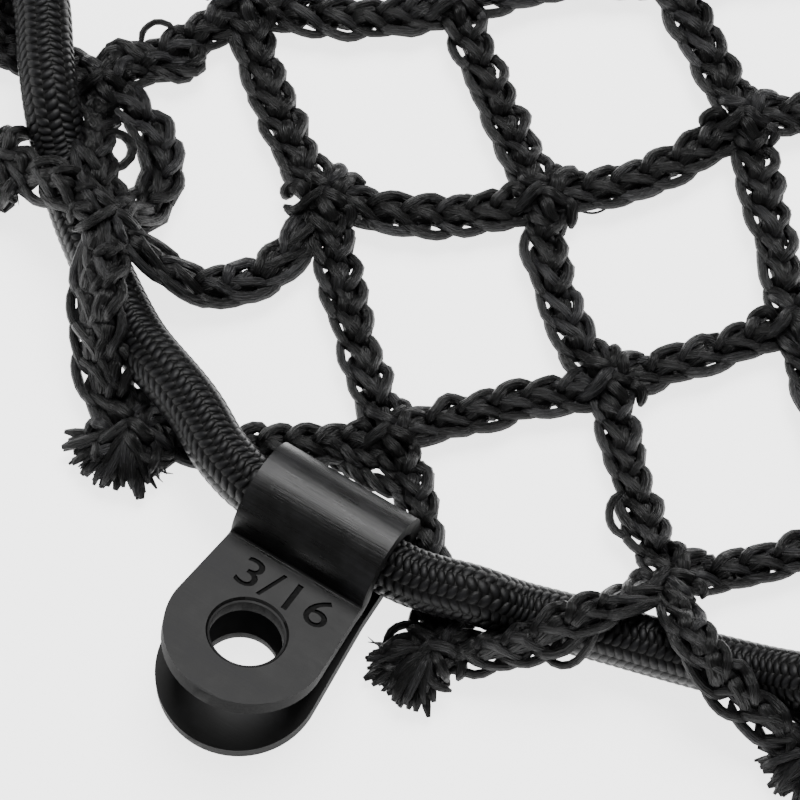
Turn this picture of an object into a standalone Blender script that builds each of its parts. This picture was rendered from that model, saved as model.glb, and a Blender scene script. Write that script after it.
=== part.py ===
"""Small-mesh cargo net panel with an elastic edge cord and four cable clips.

The panel lies flat on the ground plane, long side along X. The net is one
knotless knitted piece: flat bars about 3 mm wide meet in square meshes. An
elastic cord is threaded over and under the bars of the border meshes and
closed into a loop. A moulded P-clip for a 3/16 inch cord sits on it at each
corner, its two tabs pointing out along the corner's diagonal.

The outline is worked out in millimetres from the south-west corner joint of
the inner net, then moved so that the panel's middle is over the origin.
"""

import math

import bmesh
import bpy
from mathutils import Matrix, Vector
from mathutils.kdtree import KDTree

MM = 0.001

# ---------------------------------------------------------------- net sizes
MESHES_X = 14            # meshes between the first and last inner columns
MESHES_Y = 10            # meshes between the first and last inner rows
PITCH = 14.3             # centre to centre of the joints
EDGE_PITCH = 12.2        # the first and last mesh, drawn in by the elastic
SELVEDGE_PITCH = 9.4     # the mesh that the elastic runs through
BAR_HALF_WIDTH = 1.4
JOINT_HALF_WIDTH = 1.65
BAR_RIDGE = 2.1          # height of a bar along its middle
BAR_EDGE = 1.6           # height of a bar along its edges
JOINT_RIDGE = 2.4
JOINT_EDGE = 2.0
TAIL_LENGTH = 3.7        # cut ends that stick out of the corner joints
STUB_LENGTH = 2.9        # cut ends along the selvedge
WAVE = 0.55              # how far a joint strays from the even grid
BAR_WAVE = 0.4           # how far a bar bows between its joints
SLACK_BEND = 1.5         # a bar that bows more than this is slack
SLACK_STOPS = (0.14, 0.26, 0.38, 0.5, 0.62, 0.74, 0.86)

# ------------------------------------------------------------- elastic cord
CORD_RADIUS = 1.95
CORD_OUTSET = 4.4        # from the inner net's outer joints to the cord
CORD_LOW = 2.25          # height of its middle where a bar passes over it
CORD_HIGH = 3.54         # height of its middle over a bar, and in a clip
CORD_STEP = 3.6          # distance between its points
CLEARANCE = 0.35
ROOF_SLOPE = 0.9         # how steeply a bar climbs over the cord
ROOF_HALF_WIDTH = 1.2    # how far it stays level on top of the cord
ROOF_MARGIN = 0.3
ROOF_REACH = 2.3         # from the cord's middle to where a bar starts to climb
DIP_SLOPE = 0.35         # how a bar that is pressed down by the cord recovers
DIP_HALF_WIDTH = 1.9     # how far it stays pressed
CROSSING_REACH = 2.7     # how near the cord is to a bar that crosses it

# --------------------------------------------------------------------- clip
CLIP_PLACE = (6.6, 19.5)   # the loop's middle, from the corner joint
CLIP_HALF_LENGTH = 5.0     # half of the loop's length along the cord
CLIP_OUTER_RADIUS = 3.54
CLIP_WALL = 1.16
TAB_HALF_WIDTH = 5.5       # the tabs are a little wider than the loop
LOWER_TAB_REACH = 10.5     # from under the loop's middle to the hole
UPPER_TAB_REACH = 5.6      # from the crease to the hole
UPPER_TAB_RISE = math.radians(16)
CREASE_ANGLE = math.radians(79)   # from the top of the loop to the crease
CREASE_RADIUS = 0.3
SCREW_HOLE_RADIUS = 2.6
TIP_SIDES = 14
HOLE_SIDES = 24
LOOP_BENDS = 20
CREASE_BENDS = 4

# Joints that the corner's cut and the elastic pull away from the even grid.
# They hold at each corner, counted inwards from it: column, row, east, north.
CORNER_JOINTS = (
    (0, 4, -0.8, -0.3),
    (0, 3, -2.6, 2.2),
    (0, 2, -5.0, 3.3),
    (1, 1, -0.6, -1.8),
    (2, 0, 5.6, -2.3),
    (-1, 3, 0.2, 5.6),
    (-1, 4, 0.3, 2.6),
    (3, -1, 2.4, 0.0),
    (4, -1, 1.0, 0.0),
)

# The same for the pulled meshes by the south-west corner alone.
SOUTHWEST_JOINTS = (
    (1, 2, 0.0, -0.9),
    (2, 2, 0.6, -0.5),
    (3, 2, -0.9, 1.0),
    (1, 3, -0.4, 2.3),
    (2, 3, -0.5, -0.9),
    (3, 3, -0.4, 1.6),
    (1, 4, -2.3, 3.4),
    (2, 4, -2.9, -0.1),
    (3, 4, -2.7, -1.3),
    (4, 4, -2.2, -2.6),
    (2, 1, 1.2, -0.6),
    (3, 1, -0.7, -0.3),
    (1, 5, -2.4, 2.4),
    (2, 5, -2.4, 0.2),
    (3, 5, -2.0, -1.4),
)

# How far the middle of a slack bar bows, at each corner.
CORNER_BENDS = (
    ("row", 0, 2, 0.0, -0.3),
    ("column", 0, 2, -2.1, 0.2),
    ("column", 0, 3, 2.4, -0.4),
    ("column", 1, 1, 2.0, 0.1),
    ("row", 1, 1, -0.3, -3.0),
    ("row", 0, 3, -0.6, -3.0),
)

SOUTHWEST_BENDS = (
    ("row", -1, 4, -0.4, -1.4),
    ("column", 0, 3, 3.6, -0.8),
    ("row", 0, 3, -0.3, -4.4),
    ("row", 1, 3, 0.2, -1.2),
    ("row", 2, 3, 0.0, -1.1),
    ("column", 1, 3, -0.8, -0.2),
    ("row", 1, 4, -0.2, -0.9),
    ("row", 1, 2, -0.1, 0.3),
    ("column", 1, 2, -0.4, 0.2),
    ("column", 2, 2, -1.3, 0.0),
    ("column", 2, 1, -0.5, -0.2),
    ("column", 2, 0, -0.2, 0.1),
    ("column", 3, 2, 0.1, 0.0),
    ("column", 3, 3, 0.0, 0.0),
    ("row", 2, 2, 0.0, -0.2),
    ("row", 2, 1, 0.0, -0.1),
    ("row", 0, 4, 0.1, -0.3),
    ("row", 1, 1, -0.3, -2.7),
)

# The cord's way round one corner, from the west side to the south side:
# east and north of the corner joint. The clip's straight stretch is in it.
CORNER_ROUTE = (
    (-4.4, 66.0),
    (-3.7, 61.0),
    (-4.3, 56.0),
    (-4.6, 51.0),
    (-4.2, 44.4),
    (-2.5, 36.0),
    (0.1, 29.6),
    (1.1, 26.3),
    (2.6, 23.5),
    (4.6, 21.5),
    (6.6, 19.5),
    (8.6, 17.5),
    (10.6, 15.5),
    (12.3, 14.3),
    (14.8, 13.0),
    (18.2, 11.3),
    (21.9, 9.3),
    (27.7, 6.0),
    (33.8, 2.7),
    (39.5, -1.2),
    (45.5, -3.8),
    (52.0, -4.4),
    (59.0, -4.4),
)


# ------------------------------------------------------------------ lattice
def line_place(index, meshes):
    """Where a column or row of the even grid lies, from the corner joint."""
    if index < 0:
        return index * SELVEDGE_PITCH
    if index > meshes:
        return line_place(meshes, meshes) + (index - meshes) * SELVEDGE_PITCH
    inner = min(max(index - 1, 0), meshes - 2) * PITCH
    return inner + EDGE_PITCH * (min(index, 1) + (index == meshes))


WIDTH = line_place(MESHES_X, MESHES_X)
DEPTH = line_place(MESHES_Y, MESHES_Y)


def from_corner(column, row):
    """Counts a joint inwards from its nearest corner, with that corner's signs."""
    east = 1 if 2 * column <= MESHES_X else -1
    north = 1 if 2 * row <= MESHES_Y else -1
    near_column = column if east > 0 else MESHES_X - column
    near_row = row if north > 0 else MESHES_Y - row
    return near_column, near_row, east, north


def is_joint(column, row):
    """True where the cut panel has a joint; its corners are trimmed off."""
    near_column, near_row, _, _ = from_corner(column, row)
    return near_column >= -1 and near_row >= -1 and near_column + near_row >= 2


def table_row(table, *key):
    """The east and north of a table's row with this key, or None."""
    for entry in table:
        if entry[:len(key)] == key:
            return entry[len(key):]
    return None


def joint_place(column, row):
    """Where a joint lies in the finished panel."""
    x = line_place(column, MESHES_X)
    y = line_place(row, MESHES_Y)
    near_column, near_row, east, north = from_corner(column, row)
    pulled = table_row(CORNER_JOINTS, near_column, near_row)
    if east > 0 and north > 0:
        pulled = pulled or table_row(SOUTHWEST_JOINTS, column, row)
    if pulled:
        return Vector((x + east * pulled[0], y + north * pulled[1]))
    inside = 1.0 if min(near_column, near_row) > 0 else 0.0
    x += inside * WAVE * math.sin(1.9 * column + 0.8 * row + 0.6)
    y += inside * WAVE * math.sin(1.3 * row - 0.9 * column + 2.1)
    return Vector((x, y))


def bar_bend(kind, column, row):
    """How far the middle of a bar bows away from its chord."""
    mirrored_column = MESHES_X - column - (kind == "row")
    mirrored_row = MESHES_Y - row - (kind == "column")
    east = 1 if column <= mirrored_column else -1
    north = 1 if row <= mirrored_row else -1
    near_column = min(column, mirrored_column)
    near_row = min(row, mirrored_row)
    bend = None
    if east > 0 and north > 0:
        bend = table_row(SOUTHWEST_BENDS, kind, column, row)
    bend = bend or table_row(CORNER_BENDS, kind, near_column, near_row)
    if bend:
        return Vector((east * bend[0], north * bend[1]))
    if min(near_column, near_row) < 1:
        return Vector((0.0, 0.0))
    sway = BAR_WAVE * math.sin(2.3 * column + 1.7 * row + (0.9 if kind == "row" else 0.0))
    return Vector((0.0, sway)) if kind == "row" else Vector((sway, 0.0))


def bar_ends(kind, column, row):
    """The two joints of a bar, as column and row pairs."""
    if kind == "row":
        return (column, row), (column + 1, row)
    return (column, row), (column, row + 1)


def bar_point(kind, column, row, along):
    """A point of a bar's middle line, from its first joint to its second."""
    first, second = bar_ends(kind, column, row)
    chord = joint_place(*first).lerp(joint_place(*second), along)
    return chord + bar_bend(kind, column, row) * (4.0 * along * (1.0 - along))


def bar_side(kind, column, row, along):
    """The unit normal of a bar's middle line, on its left seen along it."""
    step = 0.02
    way = (bar_point(kind, column, row, along + step)
           - bar_point(kind, column, row, along - step)).normalized()
    return Vector((-way.y, way.x))


def all_bars():
    """Each place a bar could be, with how much of it the cut panel keeps."""
    for kind in ("row", "column"):
        for column in range(-2, MESHES_X + 2):
            for row in range(-2, MESHES_Y + 2):
                first, second = bar_ends(kind, column, row)
                has_first, has_second = is_joint(*first), is_joint(*second)
                if has_first or has_second:
                    yield kind, column, row, has_first, has_second


# --------------------------------------------------------------- cord route
def loop_points():
    """The cord's hand-set points all the way round the panel."""
    southwest = [Vector(point) for point in CORNER_ROUTE]
    southeast = [Vector((WIDTH - p.x, p.y)) for p in reversed(southwest)]
    northeast = [Vector((WIDTH - p.x, DEPTH - p.y)) for p in southwest]
    northwest = [Vector((p.x, DEPTH - p.y)) for p in reversed(southwest)]
    south = [Vector((x, -CORD_OUTSET)) for x in range(71, int(WIDTH) - 65, 13)]
    north = [Vector((WIDTH - p.x, DEPTH + CORD_OUTSET)) for p in south]
    return southwest + south + southeast + northeast + north + northwest


def smooth_loop(points, step):
    """Even points along a closed Catmull-Rom curve through the given ones."""
    fine = []
    count = len(points)
    for index in range(count):
        before, start = points[index - 1], points[index]
        end, after = points[(index + 1) % count], points[(index + 2) % count]
        for part in range(12):
            t = part / 12
            fine.append(0.5 * (2 * start + (end - before) * t
                               + (2 * before - 5 * start + 4 * end - after) * t ** 2
                               + (3 * start - before - 3 * end + after) * t ** 3))
    lengths = [0.0]
    for index, point in enumerate(fine):
        lengths.append(lengths[-1] + (fine[(index + 1) % len(fine)] - point).length)
    total = lengths[-1]
    samples = round(total / step)
    even, at = [], 0
    for index in range(samples):
        wanted = total * index / samples
        while lengths[at + 1] < wanted:
            at += 1
        share = (wanted - lengths[at]) / (lengths[at + 1] - lengths[at])
        even.append(fine[at].lerp(fine[(at + 1) % len(fine)], share))
    return even, total


def cross(a, b):
    """The z part of the cross product of two plane vectors."""
    return a.x * b.y - a.y * b.x


def find_crossings(route):
    """Each place where the cord meets a bar: bar, share along it, route index."""
    found = []
    for kind, column, row, has_first, has_second in all_bars():
        if not (has_first and has_second):
            continue
        middle = bar_point(kind, column, row, 0.5)
        near = [i for i, p in enumerate(route) if (p - middle).length < PITCH]
        for part in range(8):
            start = bar_point(kind, column, row, part / 8)
            run = bar_point(kind, column, row, (part + 1) / 8) - start
            for index in near:
                way = route[(index + 1) % len(route)] - route[index]
                spread = cross(run, way)
                if abs(spread) < 1e-9:
                    continue
                gap = route[index] - start
                along_bar = cross(gap, way) / spread
                along_cord = cross(gap, run) / spread
                if 0.0 <= along_bar < 1.0 and 0.0 <= along_cord < 1.0:
                    found.append((kind, column, row, (part + along_bar) / 8, index))
    return found


def bar_is_over(kind, column, row):
    """Whether a border bar passes over the cord: every other one does."""
    near_column, near_row, _, _ = from_corner(column, row)
    return near_row % 2 == 1 if kind == "row" else near_column % 2 == 0


def crossing_kinds(route, crossings):
    """For each point of the route, whether a bar is over it, under it or neither."""
    kinds = [None] * len(route)
    nearest = [CROSSING_REACH] * len(route)
    for kind, column, row, _, at in crossings:
        over = bar_is_over(kind, column, row)
        line = [bar_point(kind, column, row, part / 16) for part in range(17)]
        for offset in range(-30, 31):
            index = (at + offset) % len(route)
            away = min((route[index] - point).length for point in line)
            if away < nearest[index]:
                nearest[index] = away
                kinds[index] = over
    return kinds


def cord_heights(route, kinds):
    """The height of the cord's middle at each point of its route."""
    heights = [None if over is None else CORD_LOW if over else CORD_HIGH for over in kinds]
    clip_reach = CLIP_HALF_LENGTH + 0.4
    for x in (CLIP_PLACE[0], WIDTH - CLIP_PLACE[0]):
        for y in (CLIP_PLACE[1], DEPTH - CLIP_PLACE[1]):
            for index, point in enumerate(route):
                if (point - Vector((x, y))).length < clip_reach:
                    heights[index] = CORD_HIGH
    set_places = [i for i, height in enumerate(heights) if height is not None]
    smooth = list(heights)
    for here, after in zip(set_places, set_places[1:] + [set_places[0] + len(route)]):
        start, end = heights[here], heights[after % len(route)]
        for index in range(here + 1, after):
            t = (index - here) / (after - here)
            eased = t * t * (3.0 - 2.0 * t)
            smooth[index % len(route)] = start + (end - start) * eased
    return smooth


class CordGuide:
    """The cord's finished route, and what it asks of the bars near it."""

    def __init__(self):
        self.step = 0.4
        self.route, self.length = smooth_loop(loop_points(), self.step)
        self.crossings = find_crossings(self.route)
        kinds = crossing_kinds(self.route, self.crossings)
        self.heights = cord_heights(self.route, kinds)
        self.over = self.search_tree(index for index, over in enumerate(kinds) if over)
        self.under = self.search_tree(index for index, over in enumerate(kinds) if over is False)

    def search_tree(self, indices):
        """A search tree of some of the route's points."""
        chosen = list(indices)
        tree = KDTree(len(chosen))
        for index in chosen:
            tree.insert(self.route[index].to_3d(), index)
        tree.balance()
        return tree

    def floor_and_ceiling(self, place):
        """The least height of a bar's underside at a place, and the most of its top."""
        over_cord = self.over.find(place.to_3d())[2]
        under_cord = self.under.find(place.to_3d())[2]
        if under_cord < over_cord:
            lowest = CORD_HIGH - CORD_RADIUS - CLEARANCE
            return 0.0, lowest + DIP_SLOPE * max(0.0, under_cord - DIP_HALF_WIDTH)
        roof = CORD_LOW + CORD_RADIUS + CLEARANCE + ROOF_MARGIN
        return max(0.0, roof - ROOF_SLOPE * max(0.0, over_cord - ROOF_HALF_WIDTH)), math.inf


# ---------------------------------------------------------------------- net
INSET = 0.1          # half of a bar's width in the flat plan's own units


def bar_of(point):
    """The bar that a point of the flat plan's lines lies on, and how far along."""
    column, row = math.floor(point.x + 1e-6), math.floor(point.y + 1e-6)
    if abs(point.y - round(point.y)) < 1e-5:
        return "row", column, round(point.y), point.x - column
    return "column", round(point.x), row, point.y - row


def bar_stops(kind, column, row, guide):
    """Where a bar is divided along its length, as shares of it."""
    stops = []
    for crossing in guide.crossings:
        if crossing[:3] == (kind, column, row):
            at = min(max(crossing[3], 0.27), 0.73)
            stops = [at]
            if bar_is_over(kind, column, row):
                first, second = bar_ends(kind, column, row)
                length = (joint_place(*second) - joint_place(*first)).length
                way = guide.route[(crossing[4] + 1) % len(guide.route)] - guide.route[crossing[4]]
                slant = abs(way.normalized().dot(bar_side(kind, column, row, at)))
                side = min(ROOF_REACH / max(slant, 0.5) / length, at - 0.14, 0.86 - at)
                stops = [at - side, at, at + side]
    if bar_bend(kind, column, row).length > SLACK_BEND:
        for extra in SLACK_STOPS:
            if all(abs(extra - stop) > 0.07 for stop in stops):
                stops.append(extra)
    return sorted(stops) or [0.5]


def flat_plan(guide):
    """The net's bars as a flat mesh on a unit grid, holes open."""
    plan = bmesh.new()
    columns, rows = MESHES_X + 4, MESHES_Y + 4
    bmesh.ops.create_grid(plan, x_segments=columns, y_segments=rows, size=0.5)
    for vertex in plan.verts:
        vertex.co.x = round((vertex.co.x + 0.5) * columns) - 2
        vertex.co.y = round((vertex.co.y + 0.5) * rows) - 2

    kept = {}
    for kind, column, row, has_first, has_second in all_bars():
        first, second = bar_ends(kind, column, row)
        length = (joint_place(*second) - joint_place(*first)).length
        near = from_corner(*(first if has_first else second))
        cut = TAIL_LENGTH if min(near[:2]) >= 0 else STUB_LENGTH
        if has_first and has_second:
            kept[kind, column, row] = (0.0, 1.0, bar_stops(kind, column, row, guide))
        elif has_first:
            kept[kind, column, row] = (0.0, cut / length, [cut / length])
        else:
            kept[kind, column, row] = (1.0 - cut / length, 1.0, [1.0 - cut / length])

    for edge in list(plan.edges):
        start, end = sorted((v.co.copy() for v in edge.verts), key=lambda co: (co.x, co.y))
        _, _, stops = kept.get(bar_of((start + end) / 2)[:3], (0.0, 0.0, []))
        vertex = next(v for v in edge.verts if (v.co - start).length < 1e-6)
        done = 0.0
        for stop in stops:
            edge, vertex = bmesh.utils.edge_split(edge, vertex, (stop - done) / (1.0 - done))
            edge = next(e for e in vertex.link_edges
                        if (e.other_vert(vertex).co - end).length < (vertex.co - end).length
                        and abs(cross(e.other_vert(vertex).co - vertex.co, end - start)) < 1e-6)
            done = stop

    rims = bmesh.ops.inset_individual(
        plan, faces=plan.faces[:], thickness=INSET, use_even_offset=True)["faces"]
    rims = set(rims)
    unused = [face for face in plan.faces if face not in rims]
    for face in rims:
        on_line = [v.co for v in face.verts
                   if min(abs(v.co.x - round(v.co.x)), abs(v.co.y - round(v.co.y))) < 1e-5]
        kind, column, row, along = bar_of((on_line[0] + on_line[1]) / 2)
        start, end, _ = kept.get((kind, column, row), (1.0, 0.0, []))
        if not start < along < end:
            unused.append(face)
    bmesh.ops.delete(plan, geom=unused, context="FACES")
    return plan


def plan_place(point):
    """Where a point of the flat plan lies in the panel, and its two heights."""
    column, row = round(point.x), round(point.y)
    aside, ahead = point.x - column, point.y - row
    if max(abs(aside), abs(ahead)) < INSET + 1e-4:
        joint = joint_place(column, row)
        if abs(aside) < 1e-4 and abs(ahead) < 1e-4:
            return joint, JOINT_RIDGE
        spread = Vector((math.copysign(JOINT_HALF_WIDTH, aside),
                         math.copysign(JOINT_HALF_WIDTH, ahead)))
        return joint + spread, JOINT_EDGE
    if abs(ahead) < INSET + 1e-4:
        kind, along, side = "row", point.x - math.floor(point.x), ahead
        column = math.floor(point.x)
    else:
        kind, along, side = "column", point.y - math.floor(point.y), -aside
        row = math.floor(point.y)
    middle = bar_point(kind, column, row, along)
    if abs(side) < 1e-4:
        return middle, BAR_RIDGE
    normal = bar_side(kind, column, row, along)
    return middle + normal * math.copysign(BAR_HALF_WIDTH, side), BAR_EDGE


def make_net(guide):
    """The knitted net: flat under its bars, crowned on top, over and under the cord."""
    body = flat_plan(guide)
    raised = bmesh.ops.extrude_face_region(body, geom=body.faces[:])["geom"]
    tops = {item for item in raised if isinstance(item, bmesh.types.BMVert)}
    for vertex in body.verts:
        place, height = plan_place(vertex.co)
        lift, ceiling = guide.floor_and_ceiling(place)
        top = min(lift + height, ceiling)
        vertex.co = (*place, top if vertex in tops else lift)
    bmesh.ops.recalc_face_normals(body, faces=body.faces[:])
    return body


# --------------------------------------------------------------------- cord
def make_cord(guide):
    """The elastic cord, one closed loop round the panel, as a curve."""
    every = round(CORD_STEP / guide.step)
    curve = bpy.data.curves.new("elastic_cord", "CURVE")
    curve.dimensions = "3D"
    curve.twist_mode = "Z_UP"
    curve.bevel_depth = CORD_RADIUS * MM
    curve.bevel_resolution = 2
    chosen = range(0, len(guide.route) - every // 2, every)
    spline = curve.splines.new("POLY")
    spline.points.add(len(chosen) - 1)
    for point, index in zip(spline.points, chosen):
        place = guide.route[index]
        point.co = (*to_panel(place, guide.heights[index]), 1.0)
    spline.use_cyclic_u = True
    return curve


# --------------------------------------------------------------------- clip
def strip_outline():
    """The plan of the clip's strip before it is bent, along X, tab to tab."""
    lower = LOWER_TAB_REACH
    upper = lower + loop_length() + CREASE_RADIUS * crease_turn() + UPPER_TAB_REACH
    tip = [math.pi * k / TIP_SIDES for k in range(TIP_SIDES + 1)]
    side = [(-CLIP_OUTER_RADIUS, CLIP_HALF_LENGTH), (upper - lower - UPPER_TAB_REACH, CLIP_HALF_LENGTH)]
    start = [(-lower - TAB_HALF_WIDTH * math.sin(a), -TAB_HALF_WIDTH * math.cos(a)) for a in tip]
    end = [(upper - lower + TAB_HALF_WIDTH * math.sin(a), TAB_HALF_WIDTH * math.cos(a)) for a in tip]
    return start + side + end + [(x, -y) for x, y in reversed(side)]


def crease_turn():
    """How far the strip turns in the crease between the loop and the upper tab."""
    return CREASE_ANGLE + UPPER_TAB_RISE


def loop_length():
    """The outer length of the loop, from under its middle to the crease."""
    return CLIP_OUTER_RADIUS * (math.pi + CREASE_ANGLE)


def strip_to_clip(point):
    """Bends a point of the flat strip: x along it, y across, z in from outside."""
    along, across, depth = point
    loop = loop_length()
    crease = CREASE_RADIUS * crease_turn()
    if along <= 0.0:
        return Vector((-along, across, depth))
    if along <= loop:
        turn = along / CLIP_OUTER_RADIUS
        radius = CLIP_OUTER_RADIUS - depth
        return Vector((-radius * math.sin(turn), across,
                       CLIP_OUTER_RADIUS - radius * math.cos(turn)))
    turned = math.pi + CREASE_ANGLE
    out = Vector((-math.sin(turned), 0.0, -math.cos(turned)))
    middle = Vector((0.0, across, CLIP_OUTER_RADIUS))
    middle += out * (CLIP_OUTER_RADIUS + CREASE_RADIUS)
    turn = min(along - loop, crease) / CREASE_RADIUS
    facing = Matrix.Rotation(turn, 3, "Y").inverted() @ -out
    bent = middle + facing * (CREASE_RADIUS + depth)
    run = max(0.0, along - loop - crease)
    return bent + Vector((math.cos(UPPER_TAB_RISE), 0.0, math.sin(UPPER_TAB_RISE))) * run


def add_ring(strip, points):
    """Joins points into a closed ring of edges."""
    ring = [strip.verts.new((x, y, 0.0)) for x, y in points]
    return [strip.edges.new((ring[k - 1], ring[k])) for k in range(len(ring))]


def hole_outline(place):
    """The screw hole's rim, at a place along the flat strip."""
    turns = [2 * math.pi * (k + 0.5) / HOLE_SIDES for k in range(HOLE_SIDES)]
    return [(place + SCREW_HOLE_RADIUS * math.cos(a), SCREW_HOLE_RADIUS * math.sin(a))
            for a in turns]


def make_clip():
    """One P-clip on its lower tab, the cord's way along Y, the tabs along +X."""
    clip = bmesh.new()
    loop, crease = loop_length(), CREASE_RADIUS * crease_turn()
    edges = add_ring(clip, strip_outline())
    edges += add_ring(clip, hole_outline(-LOWER_TAB_REACH))
    edges += add_ring(clip, hole_outline(loop + crease + UPPER_TAB_REACH))
    bmesh.ops.triangle_fill(clip, use_beauty=True, use_dissolve=True, edges=edges)
    stations = [loop * k / LOOP_BENDS for k in range(LOOP_BENDS + 1)]
    stations += [loop + crease * k / CREASE_BENDS for k in range(1, CREASE_BENDS + 1)]
    for station in stations:
        bmesh.ops.bisect_plane(clip, geom=clip.verts[:] + clip.edges[:] + clip.faces[:],
                               plane_co=(station, 0, 0), plane_no=(1, 0, 0), dist=1e-5)
    raised = bmesh.ops.extrude_face_region(clip, geom=clip.faces[:])["geom"]
    for item in raised:
        if isinstance(item, bmesh.types.BMVert):
            item.co.z = CLIP_WALL
    for vertex in clip.verts:
        vertex.co = strip_to_clip(vertex.co)
    bmesh.ops.recalc_face_normals(clip, faces=clip.faces[:])
    return clip


# ----------------------------------------------------------------- assembly
def to_panel(place, height):
    """A place in millimetres from the corner joint, as metres about the middle."""
    return Vector((place.x - WIDTH / 2, place.y - DEPTH / 2, height)) * MM


def clear_scene():
    """Removes whatever the file opened with."""
    for item in list(bpy.data.objects):
        bpy.data.objects.remove(item, do_unlink=True)


def make_material(name, colour, roughness):
    """A plain plastic or fibre finish for one sub-part."""
    material = bpy.data.materials.new(name)
    material.use_nodes = True
    shader = material.node_tree.nodes["Principled BSDF"]
    shader.inputs["Base Color"].default_value = (*colour, 1.0)
    shader.inputs["Roughness"].default_value = roughness
    shader.inputs["Metallic"].default_value = 0.0
    return material


def add_object(collection, name, data, material):
    """Puts a mesh or a curve into the panel's collection."""
    data.materials.append(material)
    item = bpy.data.objects.new(name, data)
    collection.objects.link(item)
    return item


def mesh_from(body, name, angle):
    """Turns modelled geometry into a mesh, smooth but for its sharp edges."""
    mesh = bpy.data.meshes.new(name)
    body.to_mesh(mesh)
    body.free()
    mesh.shade_smooth()
    mesh.set_sharp_from_angle(angle=math.radians(angle))
    return mesh


def main():
    """Builds the net, the elastic cord and the four clips."""
    clear_scene()
    panel = bpy.data.collections.new("cargo_net")
    bpy.context.scene.collection.children.link(panel)
    guide = CordGuide()

    body = make_net(guide)
    for vertex in body.verts:
        vertex.co = to_panel(vertex.co, vertex.co.z)
    add_object(panel, "net", mesh_from(body, "net", 40),
               make_material("knitted_polyester", (0.012, 0.012, 0.013), 0.6))

    add_object(panel, "elastic_cord", make_cord(guide),
               make_material("braided_sheath", (0.010, 0.010, 0.011), 0.7))

    body = make_clip()
    bmesh.ops.scale(body, vec=(MM, MM, MM), verts=body.verts[:])
    shape = mesh_from(body, "cable_clip", 35)
    nylon = make_material("moulded_nylon", (0.020, 0.020, 0.021), 0.45)
    shape.materials.append(nylon)
    for north, south_or_north in ((-1, "south"), (1, "north")):
        for east, west_or_east in ((-1, "west"), (1, "east")):
            item = bpy.data.objects.new(f"clip_{south_or_north}{west_or_east}", shape)
            x = CLIP_PLACE[0] if east < 0 else WIDTH - CLIP_PLACE[0]
            y = CLIP_PLACE[1] if north < 0 else DEPTH - CLIP_PLACE[1]
            item.location = to_panel(Vector((x, y)), 0.0)
            item.rotation_euler.z = math.atan2(north, east)
            panel.objects.link(item)


main()
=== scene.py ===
"""Small-mesh cargo net with an elastic edge cord and cable clips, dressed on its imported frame.

The panel lies flat, its long side along X. The net is knitted from black
filament yarn, an elastic cord with a braided sheath is threaded through the
border meshes, and a moulded P-clip sits on the cord at each corner. Sizes are
in millimetres from the south-west corner joint of the inner net, and become
metres about the panel's middle when a mesh is made.
"""

import logging
import math
from dataclasses import dataclass, field, replace
from enum import Enum
from typing import ClassVar, Iterator

import bpy
import numpy as np
from mathutils import Matrix, Vector

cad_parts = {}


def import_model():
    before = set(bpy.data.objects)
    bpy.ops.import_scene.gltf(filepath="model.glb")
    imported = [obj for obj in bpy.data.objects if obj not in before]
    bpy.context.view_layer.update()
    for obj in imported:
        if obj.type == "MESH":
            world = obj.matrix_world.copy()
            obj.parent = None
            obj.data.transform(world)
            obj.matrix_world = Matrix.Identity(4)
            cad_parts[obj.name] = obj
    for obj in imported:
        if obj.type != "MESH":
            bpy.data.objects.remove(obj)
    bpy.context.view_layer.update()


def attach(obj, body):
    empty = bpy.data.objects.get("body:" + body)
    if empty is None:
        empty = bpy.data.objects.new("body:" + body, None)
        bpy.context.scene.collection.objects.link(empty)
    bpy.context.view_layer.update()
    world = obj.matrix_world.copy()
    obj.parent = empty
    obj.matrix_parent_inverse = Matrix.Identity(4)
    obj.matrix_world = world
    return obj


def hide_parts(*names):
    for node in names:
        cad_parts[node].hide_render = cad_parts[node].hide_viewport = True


log = logging.getLogger("cargo_net")

MM = 0.001
TINY = 1e-6
EAST = Vector((1.0, 0.0, 0.0))


# ------------------------------------------------------------------ options
class Knit(Enum):
    """Which way a bar of the net runs. Its chain of loops is on one side."""

    ROW = "row"
    COLUMN = "column"

    @property
    def loop_side(self) -> float:
        """The side of a bar that its rounded loops are on: 1 is its left."""
        return 1.0 if self is Knit.ROW else -1.0


class Detail(Enum):
    """How finely a yarn is modelled: corners of its section, and sections along it."""

    FINE = (8, 10)
    FINE_UNDER = (6, 6)
    PLAIN = (5, 5)
    PLAIN_UNDER = (4, 4)

    @property
    def sides(self) -> int:
        """Corners of the yarn's section."""
        return self.value[0]

    @property
    def rings(self) -> int:
        """Sections along the yarn."""
        return self.value[1]

    @property
    def under(self) -> "Detail":
        """The plainer detail of the yarn underneath."""
        return Detail.FINE_UNDER if self is Detail.FINE else Detail.PLAIN_UNDER


# ---------------------------------------------------------------- materials
def srgb(code: str) -> tuple[float, float, float, float]:
    """Turns a six-digit sRGB code into the linear colour that a shader takes.

    Args:
        code: The colour as six hexadecimal digits.

    Returns:
        Red, green, blue and an alpha of 1.
    """
    parts = [int(code[k:k + 2], 16) / 255.0 for k in (0, 2, 4)]
    red, green, blue = (p / 12.92 if p <= 0.04045 else ((p + 0.055) / 1.055) ** 2.4 for p in parts)
    return red, green, blue, 1.0


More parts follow.
